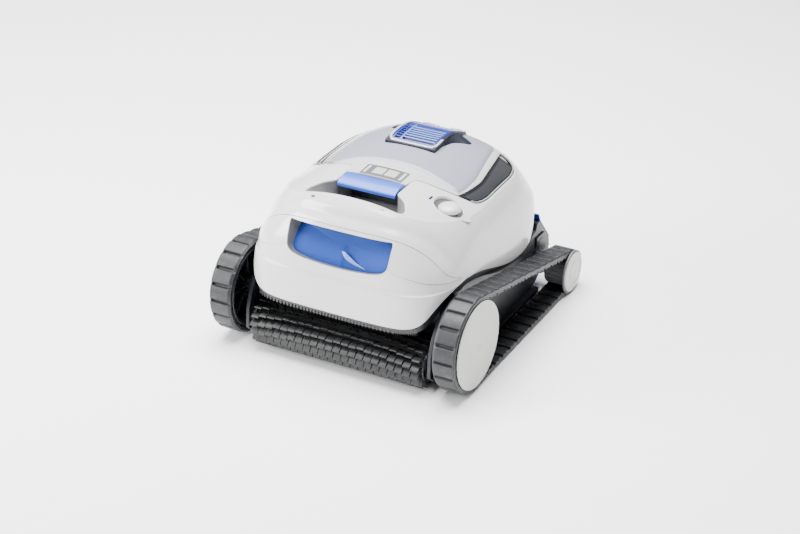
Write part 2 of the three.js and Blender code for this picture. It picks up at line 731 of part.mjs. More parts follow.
const basketHandle = join(
  box(-50, 50, inletY - 2, inletY + 4, 214, 214 + handleBar),
  box(-54, -50, inletY - 2, inletY + 4, wellDeck - 4, 214 + handleBar),
  box(50, 54, inletY - 2, inletY + 4, wellDeck - 4, 214 + handleBar),
  box(-54, -50, wellFront + 4, wellRear - 4, wellDeck - 4, wellDeck),
  box(50, 54, wellFront + 4, wellRear - 4, wellDeck - 4, wellDeck),
);

// ---------- lid ----------
const lidThick = 3;
const paneHalf = rimHalf - 43;
const lidPrism = prism(lidPlan(0), 206.5, 320, "z");
const lidSkin = cut(outer, form(lidThick)).intersect(lidPrism);
const grilleHalf = ductR - 4;
const grilleFront = ductY - 51;
const grilleRear = toY(lidRear) - 3;
const outletHole = box(-grilleHalf + 3, grilleHalf - 3, grilleFront + 4, grilleRear - 12, 200, 300);
const knuckleBox = (s, grow, y0, y1, z0, z1) => box(
  ...between(s, knuckleFrom - grow, knuckleTo + grow), y0, y1, z0, z1,
);
const earEnd = knuckleTo + 2 * gap + earThick;
const lidPanel = cut(
  lidSkin.intersect(box(-paneHalf, paneHalf, hullFront, hullRear, 150, 320)),
  rod(knuckleR + gap, -earEnd, earEnd, "x", [0, hingeY, hingeZ], 24),
  knuckleBox(-1, gap, hingeY - 10, hingeY + 5, 200, 300),
  knuckleBox(1, gap, hingeY - 10, hingeY + 5, 200, 300),
  outletHole,
);
const lidPane = (s) => {
  const x0 = s > 0 ? paneHalf + gap : -reach;
  return lidSkin.intersect(box(x0, x0 + reach - paneHalf - gap, hullFront, hullRear, 150, 320));
};
const windowIn = paneHalf - 14;
const armTop = topHeight(knuckleTo, hingeY - 4.5) - 1.1;
const sideBarX = paneHalf + 10;
let lidFrame = cut(form(lidThick + gap), form(lidThick + gap + 3));
lidFrame = lidFrame.intersect(prism(lidPlan(-1.5), 206.5, 320, "z"));
lidFrame = cut(
  lidFrame,
  box(-windowIn, windowIn, toY(-34), toY(24), 200, 300),
  box(-windowIn, -grilleHalf - 6, toY(36), toY(112), 200, 300),
  box(grilleHalf + 6, windowIn, toY(36), toY(112), 200, 300),
  outletHole,
);
for (const s of [-1, 1]) {
  const x0 = s > 0 ? sideBarX : -sideBarX - 18;
  lidFrame = cut(lidFrame, box(x0, x0 + 18, toY(-6), toY(84), 200, 300));
  const knuckleX = s > 0 ? knuckleFrom : -knuckleTo;
  lidFrame = join(
    lidFrame,
    rod(knuckleR, knuckleX, knuckleX + knuckleTo - knuckleFrom, "x", [0, hingeY, hingeZ], 24),
    knuckleBox(s, 0, hingeY - 9.5, hingeY - 1, armTop - 4, armTop),
  );
}
lidFrame = cut(lidFrame, rod(hingePinR + runGap, -80, 80, "x", [0, hingeY, hingeZ]));
const hingePin = (s) => {
  const x0 = s > 0 ? knuckleFrom - earThick : -knuckleTo - earThick;
  return rod(hingePinR, x0, x0 + knuckleTo - knuckleFrom + 2 * earThick, "x", [0, hingeY, hingeZ]);
};

// outlet cowl and grille
const humpLine = [
  [grilleFront - 3, 265.5], [toY(42), 268.6], [toY(58), 270.4], [toY(76), 270.4], [toY(96), 267.6],
  [toY(114), 261.5], [grilleRear, 254.5], [grilleRear + 2, 251.5],
];
const lifted = form(-gap);
const hump = (drop) => [
  ...humpLine.map((q) => [q[0], q[1] - drop]), [grilleRear + 2, 225], [grilleFront - 3, 225],
];
const cowl = cut(
  prism(hump(0), -grilleHalf - 5, grilleHalf + 5, "x"),
  box(-grilleHalf, grilleHalf, grilleFront, grilleRear - 4, 200, 300),
  lifted,
);
const grilleSlats = 9;
let grille = cut(
  prism(hump(-1.5), -grilleHalf + gap, grilleHalf - gap, "x"),
  prism(hump(4), -grilleHalf - 5, grilleHalf + 5, "x"),
  box(-grilleHalf + 4, grilleHalf - 4, grilleFront + 4, grilleRear - 8, 200, 300),
);
for (let i = 0; i < grilleSlats; i += 1) {
  const y = grilleFront + 9 + (i * (grilleRear - grilleFront - 24)) / (grilleSlats - 1);
  const slat = cut(
    prism(hump(-0.6), -grilleHalf + gap, grilleHalf - gap, "x"),
    prism(hump(3.4), -grilleHalf, grilleHalf, "x"),
  );
  grille = join(grille, slat.intersect(box(-grilleHalf + 3, grilleHalf - 3, y - 2.6, y + 2.6, 200, 300)));
}
const spineRib = cut(
  prism(hump(0), -grilleHalf + gap, grilleHalf - gap, "x"),
  prism(hump(4), -grilleHalf, grilleHalf, "x"),
);
grille = join(grille, spineRib.intersect(box(-1.6, 1.6, grilleFront + 2, grilleRear - 6, 200, 300)));
grille = grille.intersect(
  box(-grilleHalf + gap, grilleHalf - gap, grilleFront + gap, grilleRear - 4 - gap, 200, 300),
);
grille = cut(grille, lifted);

// latch
const latchY = latchFront + 25;
const latchZ = 249.5;
const latchPinR = 1.5;
const latchBody = cut(
  join(
    prism([
      [28, 251.5], [28, 255.5], [21, 255.6], [8, 253.6], [2, 251.2], [0, 248], [0, 244.5],
      [2.5, 244], [6, 247.5], [13, 249.3], [22, 250],
    ].map(([y, z]) => [latchFront + y, z]), -latchHalf, latchHalf, "x"),
    rod(3, -latchHalf, latchHalf, "x", [0, latchY, latchZ]),
  ),
  rod(latchPinR + runGap, -100, 100, "x", [0, latchY, latchZ]),
);
const underSkin = form(lidThick + gap);
const latchEar = (s) => box(
  ...between(s, latchHalf + gap, latchHalf + 3), latchY - 3, latchY + 16, latchZ - 4, 252,
).intersect(underSkin);
const latchBeam = box(-latchHalf - 3, latchHalf + 3, latchY + 6.5, latchY + 16, latchZ - 4, 252)
  .intersect(underSkin);
lidFrame = join(lidFrame, latchEar(-1), latchEar(1), latchBeam);
lidFrame = cut(lidFrame, rod(latchPinR + 0.05, -100, 100, "x", [0, latchY, latchZ]));
const latchPin = rod(latchPinR, -latchHalf - 2.6, latchHalf + 2.6, "x", [0, latchY, latchZ]);
const latchWell = box(-latchHalf - 4, latchHalf + 4, latchY - 4, latchY + 23, latchZ - 5, 300);
hull = cut(hull, latchWell);

// power button and lens
const buttonZ = topHeight(buttonX, buttonY);
const button = turned([
  [0, buttonZ - 12], [6, buttonZ - 12], [6, buttonZ - 4], [buttonR - 1, buttonZ - 4], [buttonR, buttonZ - 3],
  [buttonR, buttonZ + 2], [buttonR - 4, buttonZ + 4.4], [buttonR - 9, buttonZ + 5.6], [0, buttonZ + 6],
], "z", [buttonX, buttonY, 0], 28);
const buttonSeat = cut(
  rod(buttonR - 1, wellDeck + 3 + gap, buttonZ - 4 - buttonStroke - gap, "z", [buttonX, buttonY, 0], 28),
  rod(6.3, 200, 300, "z", [buttonX, buttonY, 0], 24),
);
const lensTop = topHeight(lensX, lensY) - 0.4;
const lens = prism(lensTurn(pill(lensX, lensY, 5.5, 2.1)), lensTop - 3.6, lensTop, "z");

// ---------- scene graph ----------

const group = new THREE.Group();

function put(name, body, colour, roughness = 0.5, metalness = 0) {
  const material = new THREE.MeshStandardMaterial({ color: colour, roughness, metalness });
  const mesh = new THREE.Mesh(surface(body), material);
  mesh.name = name;
  group.add(mesh);
}

const white = 0xe9e9ea;
const dark = 0x14171c;
const rubber = 0x4a4d52;
const blue = 0x3a5cb0;
const grey = 0x6a6d75;
put("chassis_tray", tray, dark, 0.6);
put("hull_shell", hull, white, 0.2);
put("front_panel", frontPanel, white, 0.2);
put("window_panel", windowPanel, blue, 0.3);
put("comb_strip", comb, grey, 0.6);
put("tail_panel", tailPanel, blue, 0.35);
put("motor_unit", motor, 0x2c2f36, 0.5);
put("outlet_duct", duct, 0x3a3d44, 0.5);
put("impeller", impeller, 0x9aa0aa, 0.5);
put("battery_pack", battery, 0x23262c, 0.6);
put("control_box", controls, 0x2f3238, 0.6);
put("basket_frame", basket, 0xb9bdc8, 0.5);
put("basket_screen_front", screenEnd(basketFront + basketWall + gap), 0x2b4f9c, 0.8);
put("basket_screen_rear", screenEnd(basketRear - basketWall - gap - 1.2), 0x2b4f9c, 0.8);
put("basket_handle", basketHandle, 0x2b4f9c, 0.5);
put("lid_frame", lidFrame, 0x4f5257, 0.5);
put("lid_panel", lidPanel, 0xc4c7d0, 0.4);
put("outlet_cowl", cowl, 0x5a5e6a, 0.5);
put("outlet_grille", grille, blue, 0.4);
put("latch", latchBody, 0x7fa0dc, 0.35);
put("latch_pin", latchPin, 0xb8bcc2, 0.3, 0.9);
put("power_button", button, white, 0.3);
put("button_seat", buttonSeat, grey, 0.5);
put("led_lens", lens, 0x1c2c66, 0.15);
put("brush_core", brushCore, 0x2a2c30, 0.5);
put("brush_sleeve", brushSleeve, 0x3a3c40, 0.8);
for (const [side, s] of [["left", -1], ["right", 1]]) {
  put(`side_plate_${side}`, sidePlate(s), dark, 0.5);
  put(`track_belt_${side}`, belt(s), rubber, 0.8);
  put(`front_wheel_${side}`, frontWheel(s), 0x2a2c30, 0.5);
  put(`front_cap_${side}`, frontCap(s), 0xcfcfcd, 0.4);
  put(`rear_roller_${side}`, rearRoller(s), 0x54575d, 0.6);
  put(`rear_cap_${side}`, rearCap(s), 0xcfcfcd, 0.4);
  put(`front_axle_${side}`, axle(s, frontAxleY, frontTipR), 0xb8bcc2, 0.3, 0.9);
  put(`rear_axle_${side}`, axle(s, rearAxleY, rearTipR), 0xb8bcc2, 0.3, 0.9);
  put(`brush_end_${side}`, brushEnd(s), 0x2a2c30, 0.5);
  put(`brush_bearing_${side}`, brushBearing(s), 0x8d9098, 0.5);
  put(`drive_motor_${side}`, driveMotor(s), 0x2c2f36, 0.5);
  put(`inlet_duct_${side}`, inletDuct(s), 0x3a3d44, 0.5);
  put(`inlet_flap_${side}`, flap(s), 0x2b4f9c, 0.5);
  put(`flap_pin_${side}`, flapPin(s), 0xb8bcc2, 0.3, 0.9);
  put(`lid_pane_${side}`, lidPane(s), 0x55585a, 0.2);
  put(`hinge_pin_${side}`, hingePin(s), 0xb8bcc2, 0.3, 0.9);
  const screenX = s > 0 ? basketHalf - basketWall - gap - 1.2 : -basketHalf + basketWall + gap;
  put(`basket_screen_${side}`, screenSide(screenX), 0x2b4f9c, 0.8);
}

export default group;
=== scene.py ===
import math
import bmesh
import bpy
import numpy as np
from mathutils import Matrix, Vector


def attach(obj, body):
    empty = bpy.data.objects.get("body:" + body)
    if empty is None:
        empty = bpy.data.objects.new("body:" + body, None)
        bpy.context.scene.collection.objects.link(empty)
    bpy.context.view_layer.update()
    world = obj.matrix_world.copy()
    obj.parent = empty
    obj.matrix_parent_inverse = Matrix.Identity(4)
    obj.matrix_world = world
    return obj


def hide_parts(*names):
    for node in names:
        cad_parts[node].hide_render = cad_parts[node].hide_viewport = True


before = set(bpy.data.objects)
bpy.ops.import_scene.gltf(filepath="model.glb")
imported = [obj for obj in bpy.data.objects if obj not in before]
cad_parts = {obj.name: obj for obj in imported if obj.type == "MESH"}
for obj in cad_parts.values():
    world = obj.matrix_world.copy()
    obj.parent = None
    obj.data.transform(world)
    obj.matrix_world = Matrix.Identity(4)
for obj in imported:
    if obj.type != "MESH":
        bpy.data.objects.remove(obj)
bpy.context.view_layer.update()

# ---------------------------------------------------------------------------------------------
# Studio: a pale seamless floor, a large soft light over the left front corner, a soft top light
# and a weak fill, with the camera standing over the right front corner of the cleaner.
# ---------------------------------------------------------------------------------------------
camera_data = bpy.data.cameras.new("studio_camera")
camera = bpy.data.objects.new("studio_camera", camera_data)
bpy.context.collection.objects.link(camera)
camera_data.sensor_width = 36.0
camera_data.lens = 83.95
camera_data.clip_end = 50
turn, tip = math.radians(28.42), math.radians(28.41)
camera.location = (1.1670, -2.1578, 1.4035)
back = Vector((math.sin(turn) * math.cos(tip), -math.cos(turn) * math.cos(tip), math.sin(tip)))
camera.rotation_euler = back.to_track_quat("Z", "Y").to_euler()
bpy.context.scene.camera = camera

floor_mesh = bpy.data.meshes.new("studio_floor")
floor_reach, floor_level = 6, -0.0005
floor_corners = [(a * floor_reach, b * floor_reach, floor_level) for a, b in ((-1, -1), (1, -1), (1, 1), (-1, 1))]
floor_mesh.from_pydata(floor_corners, [], [(0, 1, 2, 3)])
studio_floor = bpy.data.objects.new("studio_floor", floor_mesh)
bpy.context.collection.objects.link(studio_floor)
floor_paint = bpy.data.materials.new("floor_paint")
floor_paint.use_nodes = True
floor_shader = floor_paint.node_tree.nodes["Principled BSDF"]
floor_shader.inputs["Base Color"].default_value = (0.97, 0.97, 0.97, 1)
floor_shader.inputs["Roughness"].default_value = 0.9
floor_mesh.materials.append(floor_paint)


def soft_light(name, place, aim, size, power):
    """A rectangular area light; place and aim in metres, power in watts."""
    data = bpy.data.lights.new(name, "AREA")
    data.shape = "RECTANGLE"
    data.size, data.size_y = size
    data.energy = power
    lamp = bpy.data.objects.new(name, data)
    bpy.context.collection.objects.link(lamp)
    lamp.location = place
    lamp.rotation_euler = (Vector(place) - Vector(aim)).to_track_quat("Z", "Y").to_euler()


soft_light("top_box", (-0.3, 0.1, 2.4), (0, 0, 0.1), (2.4, 2.4), 310)
soft_light("left_box", (-2.2, -1.7, 1.1), (0, -0.1, 0.12), (1.6, 1.4), 165)
soft_light("right_fill", (2.4, -0.6, 1.0), (0, 0, 0.12), (1.6, 1.4), 2)
world = bpy.data.worlds.new("studio_air")
bpy.context.scene.world = world
world.use_nodes = True
world.node_tree.nodes["Background"].inputs["Color"].default_value = (1, 1, 1, 1)
world.node_tree.nodes["Background"].inputs["Strength"].default_value = 0.28

# ---------------------------------------------------------------------------------------------
# Chassis tray: one black glass-filled moulding, open on top, with four screw posts and a fine
# grain outside. The hull is screwed down on the posts and everything else hangs from the tray.
# ---------------------------------------------------------------------------------------------


def moulded(name, colour, rough, grain=0.5, bump=0.02, tone=0.05, metal=0.0, coat=0.0, spec=0.5, soil=0.0):
    """A moulded or machined surface: a slow drift of colour (tone), fine grain in relief (grain and bump
    in millimetres), uneven polish round the roughness, and pale dried soil on rubber."""
    paint = bpy.data.materials.new(name)
    paint.use_nodes = True
    tree = paint.node_tree
    link = tree.links.new
    shader = tree.nodes["Principled BSDF"]
    place = tree.nodes.new("ShaderNodeTexCoord")
    cloud = tree.nodes.new("ShaderNodeTexNoise")
    cloud.inputs["Scale"].default_value = 14.0
    cloud.inputs["Detail"].default_value = 5.0
    link(place.outputs["Object"], cloud.inputs["Vector"])
    ramp = tree.nodes.new("ShaderNodeValToRGB")
    dim = [c * (1 - tone) for c in colour]
    lit = [min(1.0, c * (1 + tone)) for c in colour]
    ramp.color_ramp.elements[0].position = 0.3
    ramp.color_ramp.elements[0].color = (*dim, 1)
    ramp.color_ramp.elements[1].position = 0.7
    ramp.color_ramp.elements[1].color = (*lit, 1)
    link(cloud.outputs["Fac"], ramp.inputs["Fac"])
    last = ramp.outputs["Color"]
    if soil > 0:
        stain = tree.nodes.new("ShaderNodeTexNoise")
        stain.inputs["Scale"].default_value = 55.0
        stain.inputs["Detail"].default_value = 8.0
        stain.inputs["Roughness"].default_value = 0.7
        link(place.outputs["Object"], stain.inputs["Vector"])
        mask = tree.nodes.new("ShaderNodeMapRange")
        mask.inputs["From Min"].default_value = 0.52
        mask.inputs["From Max"].default_value = 0.8
        mask.inputs["To Max"].default_value = soil
        link(stain.outputs["Fac"], mask.inputs["Value"])
        blend = tree.nodes.new("ShaderNodeMix")
        blend.data_type = "RGBA"
        blend.inputs[7].default_value = (0.42, 0.41, 0.38, 1)
        link(mask.outputs["Result"], blend.inputs[0])
        link(last, blend.inputs[6])
        last = blend.outputs[2]
    link(last, shader.inputs["Base Color"])
    fine = tree.nodes.new("ShaderNodeTexNoise")
    fine.inputs["Scale"].default_value = 1000.0 / grain
    fine.inputs["Detail"].default_value = 3.0
    link(place.outputs["Object"], fine.inputs["Vector"])
    scuff = tree.nodes.new("ShaderNodeTexNoise")
    scuff.inputs["Scale"].default_value = 90.0
    scuff.inputs["Detail"].default_value = 6.0
    link(place.outputs["Object"], scuff.inputs["Vector"])
    polish = tree.nodes.new("ShaderNodeMapRange")
    polish.inputs["To Min"].default_value = rough * 0.82
    polish.inputs["To Max"].default_value = min(1.0, rough * 1.2)
    link(scuff.outputs["Fac"], polish.inputs["Value"])
    link(polish.outputs["Result"], shader.inputs["Roughness"])
    relief = tree.nodes.new("ShaderNodeBump")
    relief.inputs["Strength"].default_value = 0.6
    relief.inputs["Distance"].default_value = bump / 1000.0
    link(fine.outputs["Fac"], relief.inputs["Height"])
    link(relief.outputs["Normal"], shader.inputs["Normal"])
    shader.inputs["Metallic"].default_value = metal
    shader.inputs["Coat Weight"].default_value = coat
    shader.inputs["Coat Roughness"].default_value = 0.08
    shader.inputs["Specular IOR Level"].default_value = spec
    return paint


def dress(paint, *nodes):
    """Gives carried-over solids their finish."""
    for name in nodes:
        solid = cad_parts[name]
        if not solid.material_slots:
            solid.data.materials.append(paint)
        for slot in solid.material_slots:
            slot.material = paint


black_moulding = moulded("black_moulding", (0.0035, 0.005, 0.0085), 0.42, grain=0.6, bump=0.03, tone=0.15)
dress(black_moulding, "chassis_tray")

# ---------------------------------------------------------------------------------------------
# Side frames: flat black plates screwed to the tray's sides, with bosses that hold the axles and
# a shelf under the belt. The top edge runs up under the hull, and each ends behind in a fin.
# ---------------------------------------------------------------------------------------------


def make(name, verts, faces, body, paint, smooth=40.0):
    """A new piece from points in millimetres; edges sharper than smooth degrees stay crisp."""
    mesh = bpy.data.meshes.new(name)
    points = [tuple(float(c) / 1000.0 for c in v) for v in verts]
    mesh.from_pydata(points, [], [tuple(int(i) for i in f) for f in faces])
    mesh.validate()
    shape = bmesh.new()
    shape.from_mesh(mesh)
    bmesh.ops.remove_doubles(shape, verts=shape.verts, dist=2e-6)
    bmesh.ops.dissolve_degenerate(shape, edges=shape.edges, dist=1e-6)
    bmesh.ops.recalc_face_normals(shape, faces=shape.faces)
    shape.to_mesh(mesh)
    shape.free()
    mesh.shade_smooth()
    mesh.set_sharp_from_angle(angle=math.radians(smooth))
    mesh.materials.append(paint)
    thing = bpy.data.objects.new(name, mesh)
    bpy.context.collection.objects.link(thing)
    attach(thing, body)
    return thing


def rounded(thing, width, steps=3, angle=35.0):
    """Rounds a piece's edges by width millimetres."""
    edge = thing.modifiers.new("rounded", "BEVEL")
    edge.width = width / 1000.0
    edge.segments = steps
    edge.limit_method = "ANGLE"
    edge.angle_limit = math.radians(angle)
    edge.harden_normals = False
    even = thing.modifiers.new("even", "WEIGHTED_NORMAL")
    even.keep_sharp = True
    even.weight = 80
    return thing


def slab(outline, low, high, axis):
    """Points and faces of a plate: outline drawn across axis, from low to high along it."""
    count = len(outline)
    put = {"x": lambda a, b, c: (c, a, b), "y": lambda a, b, c: (a, c, b), "z": lambda a, b, c: (a, b, c)}[axis]
    verts = [put(a, b, c) for c in (low, high) for a, b in outline]
    faces = [tuple(range(count)), tuple(range(2 * count - 1, count - 1, -1))]
    faces += [(i, (i + 1) % count, count + (i + 1) % count, count + i) for i in range(count)]
    return verts, faces


def on_side(side, verts):
    """The same points on the right (1) or mirrored to the left (-1)."""
    return [(side * x, y, z) for x, y, z in verts]


def sweep_faces(stops, points, closed=True):
    """Faces of a line of points carried through stops places, back to the first place if closed."""
    faces = []
    for k in range(stops if closed else stops - 1):
        n = (k + 1) % stops
        faces += [(k * points + i, n * points + i, n * points + i + 1, k * points + i + 1) for i in range(points - 1)]
    return faces


def lathe(profile, y, z, side, steps=96, ripple=None):
    """A turned part on an axle along X: profile is (radius, x) pairs outwards from the middle."""
    verts = []
    for k in range(steps):
        t = 2 * math.pi * k / steps
        for ring, (r, x) in enumerate(profile):
            r += ripple(ring, t) if ripple else 0.0
            verts.append((side * x, y + r * math.cos(t), z + r * math.sin(t)))
    return verts, sweep_faces(steps, len(profile))


# y and z round a frame: nose, top edge under the hull, fin behind, foot
frame_outline = [(-194, 30), (-192, 60), (-183, 84), (-168, 106), (-155, 118), (-140, 128), (-118, 140),
                 (-100, 156), (40, 122), (88, 116), (98, 103), (120, 101), (150, 106), (156, 117), (163, 117),
                 (167.4, 113.6), (200.4, 73.8), (203.4, 58), (198.5, 45.3), (169, 23), (140, 8),
                 (-150, 8), (-180, 18)]
frame_in, frame_out = 146.0, 152.0
front_axle, rear_axle = (-143.45, 72.35), (181.35, 34.5)
frame_ribs = ((92, 150, 60, 62), (92, 150, 76, 78), (92, 94, 60, 78), (20, 80, 60, 62), (20, 80, 90, 92))
for side_name, side in (("left", -1), ("right", 1)):
    verts, faces = slab(frame_outline, frame_in, frame_out, "x")
    plate = make(f"side_frame_{side_name}", on_side(side, verts), faces, "chassis", black_moulding)
    rounded(plate, 1.2, 3, 50)
    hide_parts(f"side_plate_{side_name}")
    for tag, (y, z), r in (("front", front_axle, 14.0), ("rear", rear_axle, 12.0)):
        boss = [(6.2, 163), (r - 1, 163), (r, 162), (r, 155), (r + 3, 151.9), (6.2, 151.9), (6.2, 163)]
        verts, faces = lathe(boss, y, z, side, 48)
        make(f"{tag}_axle_boss_{side_name}", verts, faces, "chassis", black_moulding)
    verts, faces = slab([(-96, 3.4), (146.2, 3.4), (150, 12), (-96, 12)], 151.5, 161.0, "x")
    shelf = make(f"belt_shelf_{side_name}", on_side(side, verts), faces, "chassis", black_moulding)
    rounded(shelf, 0.8, 3)
    for n, (ya, yb, za, zb) in enumerate(frame_ribs):
        verts, faces = slab([(ya, za), (yb, za), (yb, zb), (ya, zb)], 151.9, 153.4, "x")
        rib = make(f"frame_rib_{side_name}_{n}", on_side(side, verts), faces, "chassis", black_moulding)
        rounded(rib, 0.5, 2)
    # a raised panel with a smaller field on the fin
    for inset, low, high, tag in ((0, frame_out, 154.6, "pad"), (7, 154.6, 155.4, "field")):
        block = [(150 + inset, 62 + inset), (184 - inset * 0.4, 62 + inset), (196 - inset, 72),
                 (178 - inset, 94 - inset), (150 + inset, 94 - inset)]
        verts, faces = slab(block, low, high, "x")
        pad = make(f"fin_{tag}_{side_name}", on_side(side, verts), faces, "chassis", black_moulding)
        rounded(pad, 0.8, 3)

# ---------------------------------------------------------------------------------------------
# Axles, bushes and drives: ground steel pins pressed in the side frames, grey acetal bushes for
# the brush, and a sealed gear motor on each side of the tray.
# ---------------------------------------------------------------------------------------------
ground_steel = moulded("ground_steel", (0.52, 0.53, 0.55), 0.28, grain=0.3, bump=0.004, tone=0.04, metal=1.0)
dress(ground_steel, "front_axle_left", "front_axle_right", "rear_axle_left", "rear_axle_right",
      "flap_pin_left", "flap_pin_right", "hinge_pin_left", "hinge_pin_right", "latch_pin")
grey_acetal = moulded("grey_acetal", (0.25, 0.26, 0.28), 0.4, grain=0.4, bump=0.01)
dress(grey_acetal, "brush_bearing_left", "brush_bearing_right", "button_seat")
sealed_case = moulded("sealed_case", (0.025, 0.028, 0.034), 0.5, grain=0.8, bump=0.04, tone=0.12)
dress(sealed_case, "drive_motor_left", "drive_motor_right", "battery_pack", "control_box", "motor_unit")

# ---------------------------------------------------------------------------------------------
# Tail: a blue moulded panel snapped between the two fins behind, folded so that it clears the
# floor. Thin upright ribs stiffen its upper slope.
# ---------------------------------------------------------------------------------------------
tail_blue = moulded("tail_blue", (0.008, 0.034, 0.26), 0.33, grain=0.5, bump=0.015, tone=0.05)
tail_line = [(161, 128), (164, 129), (170, 116), (204, 76), (207.5, 58), (202, 43), (172, 20),
             (169.5, 22.5), (199, 45), (204, 58), (201, 74), (168, 114)]
# wide between the fins, narrower below so that it clears the rollers
tail_half, tail_foot_half, tail_step = 150.8, 141.0, 56
verts, faces = slab(tail_line, -tail_half, tail_half, "x")
verts = [(x if z > tail_step else math.copysign(tail_foot_half, x), y, z) for x, y, z in verts]
tail = rounded(make("tail_cover", verts, faces, "chassis", tail_blue), 1.0, 3, 25)
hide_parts("tail_panel")
tail_rib = [(172.5, 114.5), (203, 78.6), (204.6, 79.8), (174, 115.8)]
rib_pitch = 22
for k in range(-5, 6):
    verts, faces = slab(tail_rib, k * rib_pitch - 1.0, k * rib_pitch + 1.0, "x")
    rounded(make(f"tail_rib_{k + 6}", verts, faces, "chassis", tail_blue), 0.5, 2)

# ---------------------------------------------------------------------------------------------
# Wheels: glass-filled drums that turn on the axles. The front pair is large, ribbed inside and
# closed by a satin pale cap; the rear pair is a fluted roller with a flange and a smaller cap.
# ---------------------------------------------------------------------------------------------
wheel_grey = moulded("wheel_grey", (0.12, 0.123, 0.13), 0.42, grain=0.6, bump=0.03, tone=0.10)
drum_black = moulded("drum_black", (0.005, 0.006, 0.0085), 0.4, grain=0.6, bump=0.02, tone=0.15)
pale_cap = moulded("pale_cap", (0.50, 0.50, 0.485), 0.36, grain=0.35, bump=0.008, tone=0.012, spec=0.45)
drum = [(6.3, 167), (12, 167), (13, 168), (13, 186), (16, 188), (50, 188), (53.5, 185), (54, 174), (57, 170),
        (57, 165.4), (58, 164.4), (61, 164.4), (61.8, 165.2), (61.8, 198), (59, 198.6), (58, 194), (6.3, 194),
        (6.3, 167)]
front_disc = [(0.01, 198.9), (56, 198.9), (63.2, 199.4), (64.6, 199.9), (64.95, 200.7), (64.6, 201.5), (63.4, 202.0),
              (50, 202.35), (30, 202.65), (10, 202.8), (2.6, 202.85), (2.0, 202.3), (0.01, 202.2)]
# the roller's flutes lie between its fourth and seventh ring
roller = [(6.3, 166), (18, 166), (22.6, 164.6), (23.6, 165.4), (24.0, 168), (24.0, 182), (24.0, 194), (24.6, 197.6),
          (27, 199.4), (33.2, 199.4), (34.1, 200.0), (34.4, 201.2), (34.1, 202.6), (33.0, 203.3), (31.8, 202.6),
          (28, 201.6), (6.3, 198), (6.3, 166)]
rear_disc = [(0.01, 201.8), (28, 201.8), (31.2, 202.6), (31.4, 203.6), (30.9, 204.3), (29.6, 204.7), (20.6, 204.78),
             (20.2, 204.45), (19.5, 204.45), (19.1, 204.78), (10, 204.78), (3, 204.78), (2.6, 204.7), (0.01, 204.7)]
flutes, flute_deep = 22, 0.9


def fluted(ring, t):
    """How far the roller's surface lies in at angle t."""
    return -flute_deep * max(0.0, math.cos(flutes * t)) ** 6 if 3 <= ring <= 6 else 0.0


for side_name, side in (("left", -1), ("right", 1)):
    y, z = front_axle
    verts, faces = lathe(drum, y, z, side, 120)
    wheel = make(f"front_drum_{side_name}", verts, faces, f"front_wheel_{side_name}", drum_black, 30)
    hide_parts(f"front_wheel_{side_name}")
    for k in range(8):
        a = math.pi * k / 4
        verts, faces = slab([(14, -1.2), (53, -1.2), (53, 1.2), (14, 1.2)], 176, 188.5, "z")
        turned = [(side * w, y + u * math.cos(a) - v * math.sin(a), z + u * math.sin(a) + v * math.cos(a))
                  for u, v, w in verts]
        rib = make(f"wheel_rib_{side_name}_{k}", turned, faces, f"front_wheel_{side_name}", drum_black)
        rounded(rib, 0.5, 2)
    verts, faces = lathe(front_disc, y, z, side, 144)
    cap = make(f"front_cap_disc_{side_name}", verts, faces, f"front_wheel_{side_name}", pale_cap, 50)
    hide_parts(f"front_cap_{side_name}")
    y, z = rear_axle
    verts, faces = lathe(roller, y, z, side, 264, fluted)
    wheel = make(f"fluted_roller_{side_name}", verts, faces, f"rear_wheel_{side_name}", wheel_grey, 30)
    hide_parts(f"rear_roller_{side_name}")
    verts, faces = lathe(rear_disc, y, z, side, 120)
    cap = make(f"rear_cap_disc_{side_name}", verts, faces, f"rear_wheel_{side_name}", pale_cap, 50)
    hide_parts(f"rear_cap_{side_name}")

# ---------------------------------------------------------------------------------------------
# Tracks: endless belts of dark grey rubber, moulded with broad rounded pads outside and fine
# driving teeth inside, run round the front wheel and the rear roller on each side.
# ---------------------------------------------------------------------------------------------
track_rubber = moulded("track_rubber", (0.010, 0.0113, 0.0138), 0.5, grain=0.8, bump=0.05, tone=0.10, soil=0.12)
band_front, band_rear, band_thick, pads = 67.95, 30.1, 2.6, 40
span_y, span_z = rear_axle[0] - front_axle[0], rear_axle[1] - front_axle[1]
span = math.hypot(span_y, span_z)
lean = math.asin((band_front - band_rear) / span)
upper = math.pi / 2 + math.atan2(span_z, span_y) - lean
lower = -math.pi / 2 + math.atan2(span_z, span_y) + lean
run = math.sqrt(span**2 - (band_front - band_rear) ** 2)
rear_arc, front_arc = band_rear * (upper - lower), band_front * (2 * math.pi - (upper - lower))
loop_long = 2 * run + rear_arc + front_arc


def on_loop(s, h):
    """The point at share s of the way round a belt, h outside the band's outer face."""
    u = (s % 1.0) * loop_long

    def at(axle, r, t):
        return axle[0] + (r + h) * math.cos(t), axle[1] + (r + h) * math.sin(t)

    if u < run:
        a, b = at(front_axle, band_front, upper), at(rear_axle, band_rear, upper)
        return a[0] + (b[0] - a[0]) * u / run, a[1] + (b[1] - a[1]) * u / run
    u -= run
    if u < rear_arc:
        return at(rear_axle, band_rear, upper - u / band_rear)
    u -= rear_arc
    if u < run:
        a, b = at(rear_axle, band_rear, lower), at(front_axle, band_front, lower)
        return a[0] + (b[0] - a[0]) * u / run, a[1] + (b[1] - a[1]) * u / run
    u -= run
    return at(front_axle, band_front, lower - u / band_front)


def ease(a, b, v):
    """Runs softly from 0 at a to 1 at b."""
    t = min(max((v - a) / (b - a), 0.0), 1.0)
    return t * t * (3 - 2 * t)


# the low faces between the pads are painted darker than the rubber: painted shade in the grooves
groove_painted_shade = moulded("groove_painted_shade", (0.005, 0.0055, 0.0065), 0.6, grain=0.8, bump=0.03, tone=0.10)
